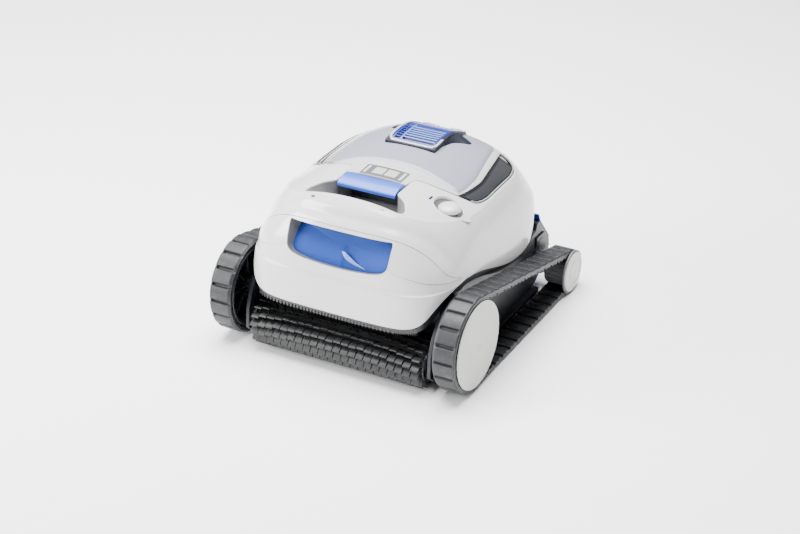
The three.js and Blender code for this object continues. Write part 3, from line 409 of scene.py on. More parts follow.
# places across the belt, and cuts along one pad for its rounded shoulders and for the tooth behind it
across = [164.0, 164.5, 165.6, 167.0, 168.4, 169.6, 172.0, 181.5, 191.0, 193.6, 195.0, 196.2, 197.4, 198.3,
          198.8, 199.0]
pad_cuts = [0.0, 0.06, 0.09, 0.12, 0.16, 0.21, 0.30, 0.5, 0.70, 0.79, 0.84, 0.88, 0.91, 0.94]
teeth_cuts = [0.02, 0.14, 0.26, 0.36, 0.52, 0.64, 0.76, 0.86]
pad_high, pad_crown, tooth_high = 4.4, 0.55, 2.8
stations = []
for p in range(pads):
    for c in sorted(set(pad_cuts + teeth_cuts)):
        shoulder = min(ease(0.05, 0.14, c), ease(0.95, 0.86, c))
        stations.append(((p + c) / pads, shoulder, pad_crown * math.sin(math.pi * c)))
for side_name, side in (("left", -1), ("right", 1)):
    verts, faces, shades = [], [], []
    wide = len(across)
    for s, shoulder, crown in stations:
        for x in across:
            inner_end = ease(164.0, 167.6, x)
            outer_end = ease(199.0, 197.4, x)
            border = max(ease(194.6, 196.4, x), ease(169.0, 167.4, x) * 0.8)
            filled = shoulder + (1 - shoulder) * border * 0.8
            h = (pad_high - pad_crown) * filled * (0.25 + 0.75 * inner_end) * (0.62 + 0.38 * outer_end)
            yy, zz = on_loop(s, min(h + crown * shoulder, pad_high))
            verts.append((side * x, yy, max(zz, 0.0)))
    count = len(stations)
    inside = []
    for j in range(count):
        share = (stations[j][0] * pads * 2) % 1.0
        tooth = 1.0 if 0.27 < share < 0.73 else 0.0
        row = []
        for x, deep in ((199.0, 0.0), (198.6, 1.0), (165.0, 1.0), (164.0, 0.0)):
            yy, zz = on_loop(stations[j][0], -band_thick - tooth_high * tooth * deep)
            row.append(len(verts))
            verts.append((side * x, yy, zz))
        inside.append(row)
    for j in range(count):
        n = (j + 1) % count
        low = stations[j][1] + stations[n][1] < 0.75
        for i in range(wide - 1):
            faces.append((j * wide + i, n * wide + i, n * wide + i + 1, j * wide + i + 1))
            shades.append(1 if low and 169.0 < across[i] < 195.5 else 0)
        faces.append((j * wide + wide - 1, n * wide + wide - 1, inside[n][0], inside[j][0]))
        faces += [(inside[j][i], inside[n][i], inside[n][i + 1], inside[j][i + 1]) for i in range(3)]
        faces.append((inside[j][3], inside[n][3], n * wide, j * wide))
        shades += [0] * 5
    belt = make(f"pad_track_{side_name}", verts, faces, "chassis", track_rubber, 38)
    belt.data.materials.append(groove_painted_shade)
    if len(belt.data.polygons) == len(shades):
        belt.data.polygons.foreach_set("material_index", shades)
    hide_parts(f"track_belt_{side_name}")

# ---------------------------------------------------------------------------------------------
# Brush: a plastic tube with end discs, wrapped by a rubber sleeve whose rows of flat blades are
# slit into short fingers; the rows sweep forward at both ends.
# ---------------------------------------------------------------------------------------------
brush_rubber = moulded("brush_rubber", (0.009, 0.0095, 0.0108), 0.5, grain=0.9, bump=0.05, tone=0.14, soil=0.08)
brush_y, brush_z = -170.0, 37.3
dress(drum_black, "brush_core", "brush_end_left", "brush_end_right")
brush_tip = moulded("brush_tip", (0.035, 0.036, 0.040), 0.45, grain=0.9, bump=0.03, tone=0.10)
blade_rows, fingers, half = 16, 22, 137.6
# radius, half thickness and how far the slits are open, up a blade
levels = [(17.5, 1.9, 0.0), (22.0, 1.4, 0.0), (23.0, 1.3, 1.0), (27.0, 1.2, 1.0), (31.0, 1.15, 1.0),
          (34.6, 1.1, 1.0), (35.6, 0.8, 1.0)]
slit_half = 0.75
finger_wide = 2 * half / fingers
verts, faces, shades = [], [], []


def on_brush(x, r, t, off, middle):
    """A point on a blade: r from the axis at angle t, off sideways from the blade's middle line."""
    t = t + 0.30 * abs(middle / half) ** 3 + 0.36 * (max(r - 19.0, 0.0) / 16.8) ** 1.4
    return x, brush_y + r * math.cos(t) - off * math.sin(t), brush_z + r * math.sin(t) + off * math.cos(t)


for row in range(blade_rows):
    t = 2 * math.pi * row / blade_rows
    for k in range(fingers):
        x0 = -half + k * finger_wide
        x1 = x0 + finger_wide
        middle = (x0 + x1) / 2
        wander = 0.018 * math.sin(k * 2.3 + row * 1.7)
        base = len(verts)
        for r, w, slit in levels:
            for x in (x0 + (slit_half * slit if k else 0.0), x1 - (slit_half * slit if k < fingers - 1 else 0.0)):
                for sgn in (-1, 1):
                    verts.append(on_brush(x, r, t + wander * slit, sgn * w, middle))
        for q in range(len(levels) - 1):
            a = base + 4 * q
            faces += [(a, a + 2, a + 6, a + 4), (a + 1, a + 5, a + 7, a + 3),
                      (a, a + 4, a + 5, a + 1), (a + 2, a + 3, a + 7, a + 6)]
            shades += [1 if q == len(levels) - 2 else 0] * 4
        a = base + 4 * (len(levels) - 1)
        faces += [(a, a + 2, a + 3, a + 1), (base, base + 1, base + 3, base + 2)]
        shades += [1, 0]
blades = make("finger_blades", verts, faces, "brush", brush_rubber, 40)
blades.data.materials.append(brush_tip)
if len(blades.data.polygons) == len(shades):
    blades.data.polygons.foreach_set("material_index", shades)
tube = [(15.4, -half), (19.0, -half), (19.0, half), (15.4, half), (15.4, -half)]
verts, faces = lathe(tube, brush_y, brush_z, 1, 64)
sleeve = make("brush_sleeve_tube", verts, faces, "brush", brush_rubber, 40)
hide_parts("brush_sleeve")
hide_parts("brush_sleeve")

# ---------------------------------------------------------------------------------------------
# Chassis rim: the chassis shows as a dark band just inside the lower edge of the hull, all the
# way round, and as a grey comb strip that guides dirt off the brush under the front panel.
# ---------------------------------------------------------------------------------------------


def smooth_table(value, pairs):
    """A table read with rounded corners between its points."""
    xs, ys = np.array([p[0] for p in pairs], float), np.array([p[1] for p in pairs], float)
    slopes = np.zeros(len(xs))
    steps = np.diff(ys) / np.diff(xs)
    product, total = steps[:-1] * steps[1:], steps[:-1] + steps[1:]
    slopes[1:-1] = np.where(product > 0, 2 * steps[:-1] * steps[1:] / (total + 1e-12), 0)
    slopes[0], slopes[-1] = steps[0], steps[-1]
    v = np.clip(value, xs[0], xs[-1])
    i = np.clip(np.searchsorted(xs, v, side="right") - 1, 0, len(xs) - 2)
    w = xs[i + 1] - xs[i]
    t = (v - xs[i]) / w
    return (ys[i] * (2 * t**3 - 3 * t**2 + 1) + slopes[i] * w * (t**3 - 2 * t**2 + t)
            + ys[i + 1] * (3 * t**2 - 2 * t**3) + slopes[i + 1] * w * (t**3 - t**2))


def crown_height(x, y):
    """Height of the body's top over a point of its plan."""
    spine = smooth_table(y, [(-160, -8), (-120, -6), (-73, -5), (0, -1), (60, 0), (95, -3), (120, -8),
                             (142, -16), (160, -30)])
    drop = smooth_table(y, [(-160, 36), (-90, 36), (-20, 42), (134, 42)])
    return 262 + spine - drop * (np.abs(x) / 143) ** 2.3


# the form at nine levels from foot to rim: half width, front and rear end, how square the plan is in
# front and behind, the share of the way up to the crown, and the height it starts from
ring_at = [0, 0.12, 0.2, 0.3, 0.5, 0.72, 0.88, 0.955, 1.0]
ring_half = [153, 162.5, 163.5, 163, 162, 156.5, 149.6, 146.2, 143]
ring_front = [-191, -203, -201, -197, -190, -178, -166, -160.5, -156]
ring_rear = [173, 182, 186, 187, 185, 172, 156.5, 149.6, 143]
ring_nose = [5, 5.3, 5.2, 4.9, 4.3, 3.5, 3.1, 2.9, 2.8]
ring_back = [4.6, 4.8, 4.9, 4.9, 4.9, 4.8, 5.0, 5.2, 5.4]
ring_rise = [0, 0, 0, 0, 0.35, 0.7, 0.9, 0.962, 1.0]
ring_low = [60, 104, 128, 150, 150, 150, 150, 150, 150]


def hull_point(t, v, inset=0.0):
    """The body's outer form: t is the angle round it, v runs from 0 at its foot to 1 at the rim and 2 at
    the top, and inset lies that far inside the skin."""
    t, v = np.asarray(t, float), np.asarray(v, float)
    w = np.clip(v, 0, 1)
    read = lambda col: smooth_table(w, list(zip(ring_at, col)))
    c, s = np.cos(t), np.sin(t)
    n = np.where(s < 0, read(ring_nose), read(ring_back))
    b = np.where(s < 0, -15 - read(ring_front), read(ring_rear) + 15) - inset
    r = ((np.abs(c) / (read(ring_half) - inset)) ** n + (np.abs(s) / b) ** n) ** (-1 / n)
    k = np.clip(2 - v, 0, 1)
    x, y = r * c * k, -15 + r * s * k
    rise = np.where(v >= 1, 1.0, read(ring_rise))
    base = read(ring_low)
    z = np.where(rise > 0, base + (crown_height(x, y) - inset - base) * rise, base)
    return x, y, z


def seam_height(x):
    """Height of the seam between the front panel and the hull."""
    return 223.5 - 72 * (np.minimum(np.abs(x), 163) / 163) ** 4.2


def skirt_height(y):
    """Height of the hull's lower edge along the sides and behind."""
    return smooth_table(y, [(-260, 150), (-112, 150), (-88, 147.5), (50, 106.5), (84, 103.5), (112, 106.5),
                            (140, 118), (160, 133), (180, 153), (260, 155)])


def panel_foot(x):
    """Height of the front panel's lower edge."""
    return smooth_table(np.abs(x), [(0, 99), (60, 99.5), (104, 100.3), (119, 102.2), (130, 106.5), (139, 115),
                                    (147, 128), (155, 141), (163, 152)])


def front_then_side(front, y):
    """A height that holds in front and turns into the skirt's height along the sides."""
    share = np.clip((np.asarray(y) + 120) / 22, 0, 1)
    share = share * share * (3 - 2 * share)
    return front * (1 - share) + skirt_height(y) * share


def hull_foot(x, y):
    """Height of the hull's lower edge: the seam in front, the skirt at the sides and behind."""
    return front_then_side(seam_height(x), y)


def level_where(t, height_of, low=0.0, high=1.0, inset=0.0):
    """For each angle t, the level v where the form crosses a height given over x and y."""
    a, b = np.full(len(t), float(low)), np.full(len(t), float(high))
    for _ in range(40):
        m = (a + b) / 2
        x, y, z = hull_point(t, m, inset)
        under = z < height_of(x, y)
        a, b = np.where(under, m, a), np.where(under, b, m)
    return (a + b) / 2


def ring_faces(rows, cols, skip=None):
    """Faces between rows of closed rings with cols points each."""
    faces = []
    for j in range(rows - 1):
        for i in range(cols):
            n = (i + 1) % cols
            if not (skip and skip(j, i, n)):
                faces.append((j * cols + i, j * cols + n, (j + 1) * cols + n, (j + 1) * cols + i))
    return faces


def thick(thing, depth):
    """Gives a skin its wall, depth millimetres inwards."""
    wall = thing.modifiers.new("wall", "SOLIDIFY")
    wall.thickness = depth / 1000.0
    wall.offset = -1.0
    wall.use_even_offset = True
    return thing


all_round = np.linspace(0, 2 * np.pi, 361)[:-1]


def lower_edge(x, y):
    """Lower edge of the white body: front panel's foot in front, the hull's skirt elsewhere."""
    return front_then_side(panel_foot(x), y)


rim_inset, rim_below, rim_above = 3.6, 11, 9
rim_low = level_where(all_round, lambda x, y: lower_edge(x, y) - rim_below, inset=rim_inset)
rim_high = level_where(all_round, lambda x, y: lower_edge(x, y) + rim_above, inset=rim_inset)
rim_rows_up, verts = 6, []
for j in range(rim_rows_up + 1):
    verts += list(zip(*hull_point(all_round, rim_low + (rim_high - rim_low) * j / rim_rows_up, rim_inset)))
rim_faces = ring_faces(rim_rows_up + 1, len(all_round))
rim = make("chassis_rim", verts, rim_faces, "chassis", black_moulding, 60)
rounded(thick(rim, 2.5), 0.8, 3, 50)

comb_grey = moulded("comb_grey", (0.016, 0.017, 0.020), 0.45, grain=0.6, bump=0.03, tone=0.08)
comb_teeth, comb_reach = 46, 36.5
comb_top, tooth_foot, notch_foot = 102.5, 90.5, 95.6
comb_t = np.radians(np.linspace(-90 - comb_reach, -90 + comb_reach, comb_teeth * 6 + 1))
verts, faces = [], []
for inset in (1.6, 5.0):
    top_v = level_where(comb_t, lambda x, y: np.full_like(x, 100.0), inset=inset)
    x, y, z = hull_point(comb_t, top_v, inset)
    for i in range(len(comb_t)):
        # broad teeth, and finer ones at the right-hand end
        tooth = i % 3 == 0 if x[i] > 96 else i % 6 in (0, 1, 2)
        verts += [(x[i], y[i], comb_top), (x[i], y[i], tooth_foot if tooth else notch_foot)]
cols = len(comb_t)
for i in range(cols - 1):
    a, b = 2 * i, 2 * (i + 1)
    o = 2 * cols
    faces += [(a, b, b + 1, a + 1), (o + a, o + a + 1, o + b + 1, o + b),
              (a, o + a, o + b, b), (a + 1, b + 1, o + b + 1, o + a + 1)]
faces += [(0, 1, 2 * cols + 1, 2 * cols), (2 * cols - 2, 4 * cols - 2, 4 * cols - 1, 2 * cols - 1)]
comb = make("dirt_comb", verts, faces, "chassis", comb_grey, 30)
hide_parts("comb_strip")

# ---------------------------------------------------------------------------------------------
# Hull: one glossy white moulding, three millimetres thick, screwed down on the tray's posts. The
# hand recess is moulded in behind its front band, and a wide opening takes the lid.
# ---------------------------------------------------------------------------------------------
gloss_white = moulded("gloss_white", (0.60, 0.60, 0.595), 0.16, grain=1.2, bump=0.002, tone=0.006, coat=0.35)


def curve_through(points, steps=6, closed=True):
    """A smooth line through points."""
    pts = np.array(points, float)
    count = len(pts)
    line = []
    for i in range(count if closed else count - 1):
        a, b, c, d = (pts[(i + k) % count] if closed else pts[min(max(i + k, 0), count - 1)] for k in (-1, 0, 1, 2))
        for j in range(steps):
            t = j / steps
            bend = (2 * a - 5 * b + 4 * c - d) * t**2 + (3 * b - 3 * c + d - a) * t**3
            line.append(0.5 * (2 * b + (c - a) * t + bend))
    if not closed:
        line.append(pts[-1])
    return [tuple(p) for p in line]


# right half of the opening, from the middle of the hand recess round to the middle of the rear:
# plan x and y, the angle where the spoke from that point meets the rim, and 1 on the recess
opening_right = [(0, -141.5, -90, 1), (34, -141.5, -75, 1), (62, -141.5, -63.8, 1), (70, -141.2, -60.8, 1),
                 (75.5, -139.2, -57.6, 1), (77.5, -135.2, -54.5, 1), (76.6, -129, -51, 1), (74, -124, -48.5, 1),
                 (67, -113, -43, 1), (61, -107.6, -40, 1), (56, -104.3, -37.5, 1), (51.3, -101.3, -35, 1),
                 (49, -98.2, -33, 1), (48.5, -94, -31, 1), (48.5, -80, -27, 1), (48.5, -66, -23, 1),
                 (48.7, -60, -21.5, 1), (50.6, -53, -20, 0.3), (55, -50.3, -18.7, 0), (64, -48.2, -17, 0),
                 (85, -45, -14.5, 0), (112, -35, -9.5, 0), (128, -26.5, -5.5, 0), (135, -20, -1.5, 0)]
opening_right += [(x, y, math.degrees(math.atan2(y + 15, x)), 0) for x, y in
                  [(138.6, -8), (140, 6), (140, 20), (139.8, 40), (139.5, 66), (138.6, 82), (136, 96.6),
                   (132.5, 107.5), (127, 116.6), (118, 124.5), (107, 129.4), (86, 132), (60, 133.4), (30, 133.6),
                   (0, 133.6)]]
spokes_right = np.array(curve_through(opening_right, 5, closed=False))
spokes_left = spokes_right[1:-1][::-1] * (-1, 1, 1, 1)
spokes_left[:, 2] = -180 - spokes_left[:, 2]
spoke_ring = np.vstack([spokes_right, spokes_left])
mouth = spoke_ring[:, :2]
mouth_t = np.radians(spoke_ring[:, 2])
is_recess = np.clip(spoke_ring[:, 3], 0, 1)
rim_x, rim_y, rim_z = hull_point(mouth_t, np.ones(len(mouth_t)))
outward = np.stack([rim_x, rim_y], 1) - mouth
reach = np.linalg.norm(outward, axis=1)
outward = outward / reach[:, None]


def band_dip(x, y, z):
    """Depth of the shallow groove that runs above the seam across the front."""
    return 1.7 * np.exp(-(((z - seam_height(x) - 13) / 6.5) ** 2)) * np.clip((-110 - y) / 25, 0, 1)


verts = []
cols = len(mouth_t)
v_foot = level_where(mouth_t, lambda x, y: hull_foot(x, y) + 0.35)
# up the outside from the skirt to the rim
side_shares = [0, 0.01, 0.03] + [0.03 + 0.94 * i / 30 for i in range(1, 31)] + [0.985, 0.994, 1.0]
for share in side_shares:
    v = v_foot + (1 - v_foot) * share
    x, y, z = hull_point(mouth_t, v)
    x, y, z = hull_point(mouth_t, v, band_dip(x, y, z))
    verts += list(zip(x, y, z))
# over the deck to the opening: a small stepped lip for the lid, a rounded edge at the recess
lip_out = [0.0, 0.25, 0.9, 2.2, 2.7, 3.1, 3.6]
lip_drop = [0.9, 0.25, 0.0, 0.0, 0.55, 0.55, 0.0]
recess_round = 2.8
round_out = [recess_round * (1 - math.cos(math.radians(a))) for a in (0, 18, 36, 54, 68, 80, 90)]
round_drop = [recess_round * (1 - math.sin(math.radians(a))) for a in (0, 18, 36, 54, 68, 80, 90)]
lip_rows = []
for a, b, c, d in zip(lip_out, lip_drop, round_out, round_drop):
    out = np.minimum(a * (1 - is_recess) + c * is_recess, reach * 0.9)
    spot = mouth + outward * out[:, None]
    drop = b * (1 - is_recess) + d * is_recess
    lip_rows.append((spot[:, 0], spot[:, 1], crown_height(spot[:, 0], spot[:, 1]) - drop))
lip_end = np.minimum(lip_out[-1] * (1 - is_recess) + recess_round * is_recess, reach * 0.9)
for share in [0.006, 0.02, 0.05] + [0.05 + 0.95 * i / 22 for i in range(1, 22)]:
    spot = mouth + outward * (reach + (lip_end - reach) * share)[:, None]
    verts += list(zip(spot[:, 0], spot[:, 1], crown_height(spot[:, 0], spot[:, 1])))
for row in reversed(lip_rows):
    verts += list(zip(*row))
# down the recess's wall to its floor
floor_z = 212.2
rim_rows = len(verts) // cols
edge_x, edge_y, edge_z = lip_rows[0]
down = [0.05, 0.14, 0.28, 0.42, 0.56, 0.70, 0.82, 0.91, 0.96, 0.99, 1.0]
for share in down:
    slide = ease(0, 1, share) * 0.35 + share * 0.65 if share > 0.7 else share
    fx = np.clip(edge_x, -49.0, 49.0)
    fy = np.where(edge_y < -120, np.maximum(edge_y, -139.6), edge_y)
    down_x, down_y = edge_x + (fx - edge_x) * slide, edge_y + (fy - edge_y) * slide
    verts += list(zip(down_x, down_y, edge_z + (floor_z - edge_z) * share))
faces = ring_faces(rim_rows + len(down), cols,
                   lambda j, i, n: j >= rim_rows - 1 and min(is_recess[i], is_recess[n]) < 0.95)
last = (rim_rows + len(down) - 1) * cols
inside = [i for i in range(cols) if is_recess[i] >= 0.95]
floor_loop = sorted((last + i for i in inside), key=lambda i: math.atan2(verts[i][1] + 90, verts[i][0]))
verts.append((0.0, -100.0, floor_z))
faces += [(a, b, len(verts) - 1) for a, b in zip(floor_loop, floor_loop[1:] + floor_loop[:1])]
hull = make("white_hull", verts, faces, "chassis", gloss_white, 60)
thick(hull, 3.0)
rounded(hull, 0.6, 3, 60)
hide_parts("hull_shell")

# ---------------------------------------------------------------------------------------------
# Front panel: a separate glossy white moulding clipped on under the seam, with a window opening
# in its middle. A dished blue scoop is set in behind the window.
# ---------------------------------------------------------------------------------------------


def on_form(x_goal, z_goal, inset=0.0):
    """Angle and level of the points of the front that lie at x_goal, z_goal."""
    x_goal, z_goal = np.asarray(x_goal, float), np.asarray(z_goal, float)
    v = np.full(len(x_goal), 0.4)
    t = np.full(len(x_goal), -np.pi / 2)
    for _ in range(12):
        a, b = np.full(len(x_goal), -np.pi), np.zeros(len(x_goal))
        for _ in range(34):
            m = (a + b) / 2
            left = hull_point(m, v, inset)[0] < x_goal
            a, b = np.where(left, m, a), np.where(left, b, m)
        t = (a + b) / 2
        a, b = np.zeros(len(x_goal)), np.ones(len(x_goal))
        for _ in range(34):
            m = (a + b) / 2
            under = hull_point(t, m, inset)[2] < z_goal
            a, b = np.where(under, m, a), np.where(under, b, m)
        v = (a + b) / 2
    return t, v


window_right = [(0, 218.4), (40, 218.2), (77, 217.2), (81, 216.2), (82.2, 212.5), (81.8, 200), (81, 187),
                (79.5, 181), (75.5, 176.2), (68, 172.6), (52, 169.4), (30, 167.2), (0, 166.2)]
window_edge = curve_through(window_right + [(-x, z) for x, z in reversed(window_right[1:-1])], 6)
wx, wz = np.array([p[0] for p in window_edge]), np.array([p[1] for p in window_edge])
wt, wv = on_form(wx, wz)
# the panel's outer edge: its foot below, a hairline under the seam above, where they are apart
tips = np.linspace(-np.pi + 0.02, -0.02, 1201)
gap_line = level_where(tips, lambda x, y: seam_height(x) - 0.25)
foot_line = level_where(tips, lambda x, y: panel_foot(x))
held = gap_line - foot_line > 0.002
tips, gap_line, foot_line = tips[held], gap_line[held], foot_line[held]
tips, gap_line, foot_line = tips[::4], gap_line[::4], foot_line[::4]
loop_t = np.concatenate([tips, tips[::-1]])
loop_v = np.concatenate([foot_line, gap_line[::-1]])
mid_t, mid_v = -np.pi / 2, float(np.mean(wv))
stretch = 2.6


def bearings(t, v):
    """Direction from the window's middle to a point of the form."""
    return np.arctan2((v - mid_v) * stretch, t - mid_t)


out_a = bearings(loop_t, loop_v)
order = np.argsort(out_a)
out_a, loop_t, loop_v = out_a[order], loop_t[order], loop_v[order]
in_a = bearings(wt, wv)
order = np.argsort(in_a)
in_a, wt_s, wv_s = in_a[order], wt[order], wv[order]
spokes = np.unique(np.round(np.concatenate([np.linspace(-np.pi, np.pi, 241)[:-1], out_a, in_a]), 4))


def on_spokes(a, f):
    """Values f known at bearings a, read on every spoke round the window."""
    return np.interp(spokes, np.concatenate([a - 2 * np.pi, a, a + 2 * np.pi]), np.concatenate([f, f, f]))


inner_t, inner_v = on_spokes(in_a, wt_s), on_spokes(in_a, wv_s)
outer_t, outer_v = on_spokes(out_a, loop_t), on_spokes(out_a, loop_v)
verts = []
rows_out, cols = 18, len(spokes)
for j in range(rows_out + 1):
    k = j / rows_out
    verts += list(zip(*hull_point(inner_t + (outer_t - inner_t) * k, inner_v + (outer_v - inner_v) * k)))
faces = ring_faces(rows_out + 1, cols)
panel = make("white_front_panel", verts, faces, "chassis", gloss_white, 60)
# an even offset would throw spikes out at the panel's two sharp ends
thick(panel, 3.0).modifiers["wall"].use_even_offset = False
rounded(panel, 0.7, 3, 55)
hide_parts("front_panel")

scoop_blue = moulded("scoop_blue", (0.014, 0.050, 0.27), 0.5, grain=0.8, bump=0.006, tone=0.015, spec=0.12)
# the window's side wall is white plastic lying in shade; it is painted dark grey as painted shade
window_wall_painted_shade = moulded("window_wall_painted_shade", (0.12, 0.122, 0.13), 0.35, grain=0.8, bump=0.006, tone=0.02)


def scoop_depth(x, z):
    """How far the scoop lies behind the panel's face: deepest under the upper edge, less to the right."""
    deep = 9.0 + 11.0 * np.clip((z - 172) / 46, 0, 1) ** 1.2
    return deep * (1 - 0.45 * np.clip((x - 10) / 72, 0, 1) ** 2)


wall_x, wall_y, wall_z = hull_point(inner_t, inner_v, 1.0)
wall_deep = scoop_depth(wall_x, wall_z)
verts = []
for share in (0.0, 0.2, 0.5, 1.02):
    verts += list(zip(*hull_point(inner_t, inner_v, 1.2 + (wall_deep - 1.2) * share)))
make("window_wall", verts, ring_faces(4, cols), "chassis", window_wall_painted_shade, 60)
verts = []
rings_in = 30
for j in range(rings_in):
    k = 1.02 * (1 - j / rings_in)
    t = mid_t + (inner_t - mid_t) * k
    v = mid_v + (inner_v - mid_v) * k
    x, y, z = hull_point(t, v, 12.0)
    x, y, z = hull_point(t, v, scoop_depth(x, z))
    bowl = np.clip((x - 4) / 5, 0, 1) * np.clip((196 - 0.10 * (x - 4) - z) / 4, 0, 1) * np.clip((80 - x) / 30, 0, 1)
    verts += list(zip(x, y + 3.0 * (1 - min(k, 1) ** 2) + 1.0 * bowl, z))
faces = ring_faces(rings_in, cols)
x, y, z = hull_point(np.array([mid_t]), np.array([mid_v]), 13.0)
verts.append((float(x[0]), float(y[0]) + 3.0, float(z[0])))
last = (rings_in - 1) * cols
faces += [(last + i, last + (i + 1) % cols, len(verts) - 1) for i in range(cols)]
scoop = make("window_scoop", verts, faces, "chassis", scoop_blue, 50)
thick(scoop, 2.0)
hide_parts("window_panel")
painted_reflection_blue = moulded("painted_reflection_blue", (0.17, 0.24, 0.66), 0.3, grain=0.8, bump=0.004, tone=0.02, coat=0.2)
# a thin pale crescent laid on the scoop's lower half as a painted reflection of the light, x and z of its two edges
crescent_low = [(4.5, 190.5), (8, 184), (14, 178.8), (24, 174.8), (34, 172.6), (46, 171.2)]
crescent_high = [(4.5, 190.5), (9, 190.2), (16, 186.2), (25, 181), (35, 175.6), (46, 171.2)]
flash_low = curve_through(crescent_low, 4, closed=False)
flash_high = curve_through(crescent_high, 4, closed=False)
verts = []
for line in (flash_low, flash_high):
    fx, fz = np.array([p[0] for p in line]), np.array([p[1] for p in line])
    ft, fv = on_form(fx, fz, 3.0)
    verts += list(zip(*hull_point(ft, fv, 9.6)))
half_count = len(flash_low)
faces = [(i, i + 1, half_count + i + 1, half_count + i) for i in range(half_count - 1)]
thick(make("window_painted_reflection", verts, faces, "chassis", painted_reflection_blue, 60), 0.8)

# ---------------------------------------------------------------------------------------------
# Hand recess: the pocket behind the front band is closed behind by a separate wall, deep
# enough for four fingers, painted near black as painted shade. Two small drain slots in the deck
# beside it are drawn as dark pills, painted with the shade inside the slots.
# ---------------------------------------------------------------------------------------------
# the back wall's near-black colour is painted shade for the dark back of the pocket
recess_wall_painted_shade = moulded("recess_wall_painted_shade", (0.035, 0.036, 0.040), 0.4, grain=0.8, bump=0.01, tone=0.02)
verts, faces = slab([(-48.4, 212.5), (48.4, 212.5), (48.4, 244.0), (-48.4, 244.0)], -60.4, -57.8, "y")
rounded(make("recess_back_wall", verts, faces, "chassis", recess_wall_painted_shade), 0.8, 3)
slot_painted_shade = moulded("slot_painted_shade", (0.03, 0.03, 0.034), 0.6, grain=0.6, bump=0.01)


def full_corner(c):
    """Swells a circle's coordinate so that a slot's ends come out square with round corners."""
    return math.copysign(abs(c) ** 0.5, c)


# each slot is a dark pill set in the uncut deck; its dark colour is painted shade for the slot's hollow
slot_half, slot_high, slot_points = 2.9, 0.85, 24
for n, (sx, sy) in enumerate(((-55.0, -155.2), (53.0, -150.2))):
    corners = [(sx + slot_half * full_corner(math.cos(a)), sy + slot_high * full_corner(math.sin(a)))
               for a in np.linspace(0, 2 * np.pi, slot_points + 1)[:-1]]
    low = [(x, y, float(crown_height(x, y)) - 1.2) for x, y in corners]
    high = [(x, y, float(crown_height(x, y)) + 0.12) for x, y in corners]
    faces = [tuple(range(slot_points - 1, -1, -1)), tuple(range(slot_points, 2 * slot_points))]
    faces += [(i, (i + 1) % slot_points, slot_points + (i + 1) % slot_points, slot_points + i)
              for i in range(slot_points)]
    make(f"drain_slot_{n}", low + high, faces, "chassis", slot_painted_shade, 30)

# ---------------------------------------------------------------------------------------------
# Hinge ears: two pairs of white lugs moulded on the hull behind the lid. A steel pin through
# each pair carries the lid's knuckle between them.
# ---------------------------------------------------------------------------------------------
hinge_y, hinge_z = 136.5, 249.47
ear_line = [(hinge_y + 4 * math.cos(a), hinge_z + 4 * math.sin(a)) for a in np.linspace(0, np.pi, 17)]
ear_line += [(133.9, 248.0), (133.9, 240.5), (140.5, 240.5)]
for side_name, side in (("left", -1), ("right", 1)):
    for tag, xa, xb in (("inner", 8.6, 13.6), ("outer", 31.4, 36.4)):
        verts, faces = slab(ear_line, xa, xb, "x")
        ear = make(f"hinge_ear_{tag}_{side_name}", on_side(side, verts), faces, "chassis", gloss_white, 35)
        rounded(ear, 0.5, 3, 50)

# ---------------------------------------------------------------------------------------------
# Inner deck: the level shelf moulded inside the hull round the filter well. It carries the lid's
# seal and is seen only with the lid open.
# ---------------------------------------------------------------------------------------------
deck_plastic = moulded("deck_plastic", (0.33, 0.34, 0.36), 0.42, grain=0.7, bump=0.02)


def plan_radius(angles, outline):
    """Distance from the plan's centre to a closed outline at each angle."""
    pts = np.array(outline, float) - (0, -15)
    out = np.zeros(len(angles))
    for k, a in enumerate(angles):
        d = np.array((math.cos(a), math.sin(a)))
        for i in range(len(pts)):
            p, q = pts[i], pts[(i + 1) % len(pts)]
            e = q - p
            den = d[0] * e[1] - d[1] * e[0]
            if abs(den) > 1e-12:
                r = (p[0] * e[1] - p[1] * e[0]) / den
                u = (p[0] * d[1] - p[1] * d[0]) / den
                if -1e-9 <= u <= 1 + 1e-9 and r > 0:
                    out[k] = max(out[k], r)
    return out


def whole(right):
    """A closed outline from its right half."""
    return right + [(-x, y) for x, y in reversed(right) if x > 0]


well = whole([(0, -46), (88, -46), (93, -41), (93, 27), (88, 32), (0, 32)])
deck_t = np.linspace(-np.pi, np.pi, 241)[:-1]
well_ring = plan_radius(deck_t, well)
deck_z, deck_lip, deck_inset = 203.0, 200.0, 2.6
deck_v = level_where(deck_t, lambda x, y: np.full_like(x, deck_z), inset=deck_inset)
dx, dy, dz = hull_point(deck_t, deck_v, deck_inset)
verts = [(x, max(y, -100.0), deck_z) for x, y in zip(dx, dy)]
for z in (deck_z, deck_lip):
    verts += [(r * math.cos(a), -15 + r * math.sin(a), z) for r, a in zip(well_ring, deck_t)]
inner_deck = make("inner_deck", verts, ring_faces(3, len(deck_t)), "chassis", deck_plastic, 40)
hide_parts("hull_shell")

# ---------------------------------------------------------------------------------------------
# Power button and status lens, on the right of the deck: a domed white cap that is pressed down
# into a shallow round dish, and a small dark blue window glued in beside it. The dish is bored
# through the hull and has a raised lip with a short tail.
# ---------------------------------------------------------------------------------------------
button_x, button_y = 116.0, -71.0
button_z = float(crown_height(button_x, button_y))
dome = [(r, button_z + up) for r, up in ((0.01, 6.0), (4, 5.9), (8, 5.5), (11.5, 4.6), (14, 3.4), (15.8, 1.8),
                                         (16.7, -0.2), (16.8, -3.2), (15.5, -3.8), (0.01, -3.8))]


def spun(profile, x0, y0, steps=72):
    """A turned part on an upright axis at x0, y0: profile is (radius, z) pairs."""
    turns = [2 * math.pi * k / steps for k in range(steps)]
    verts = [(x0 + r * math.cos(a), y0 + r * math.sin(a), z) for a in turns for r, z in profile]
    return verts, sweep_faces(steps, len(profile))


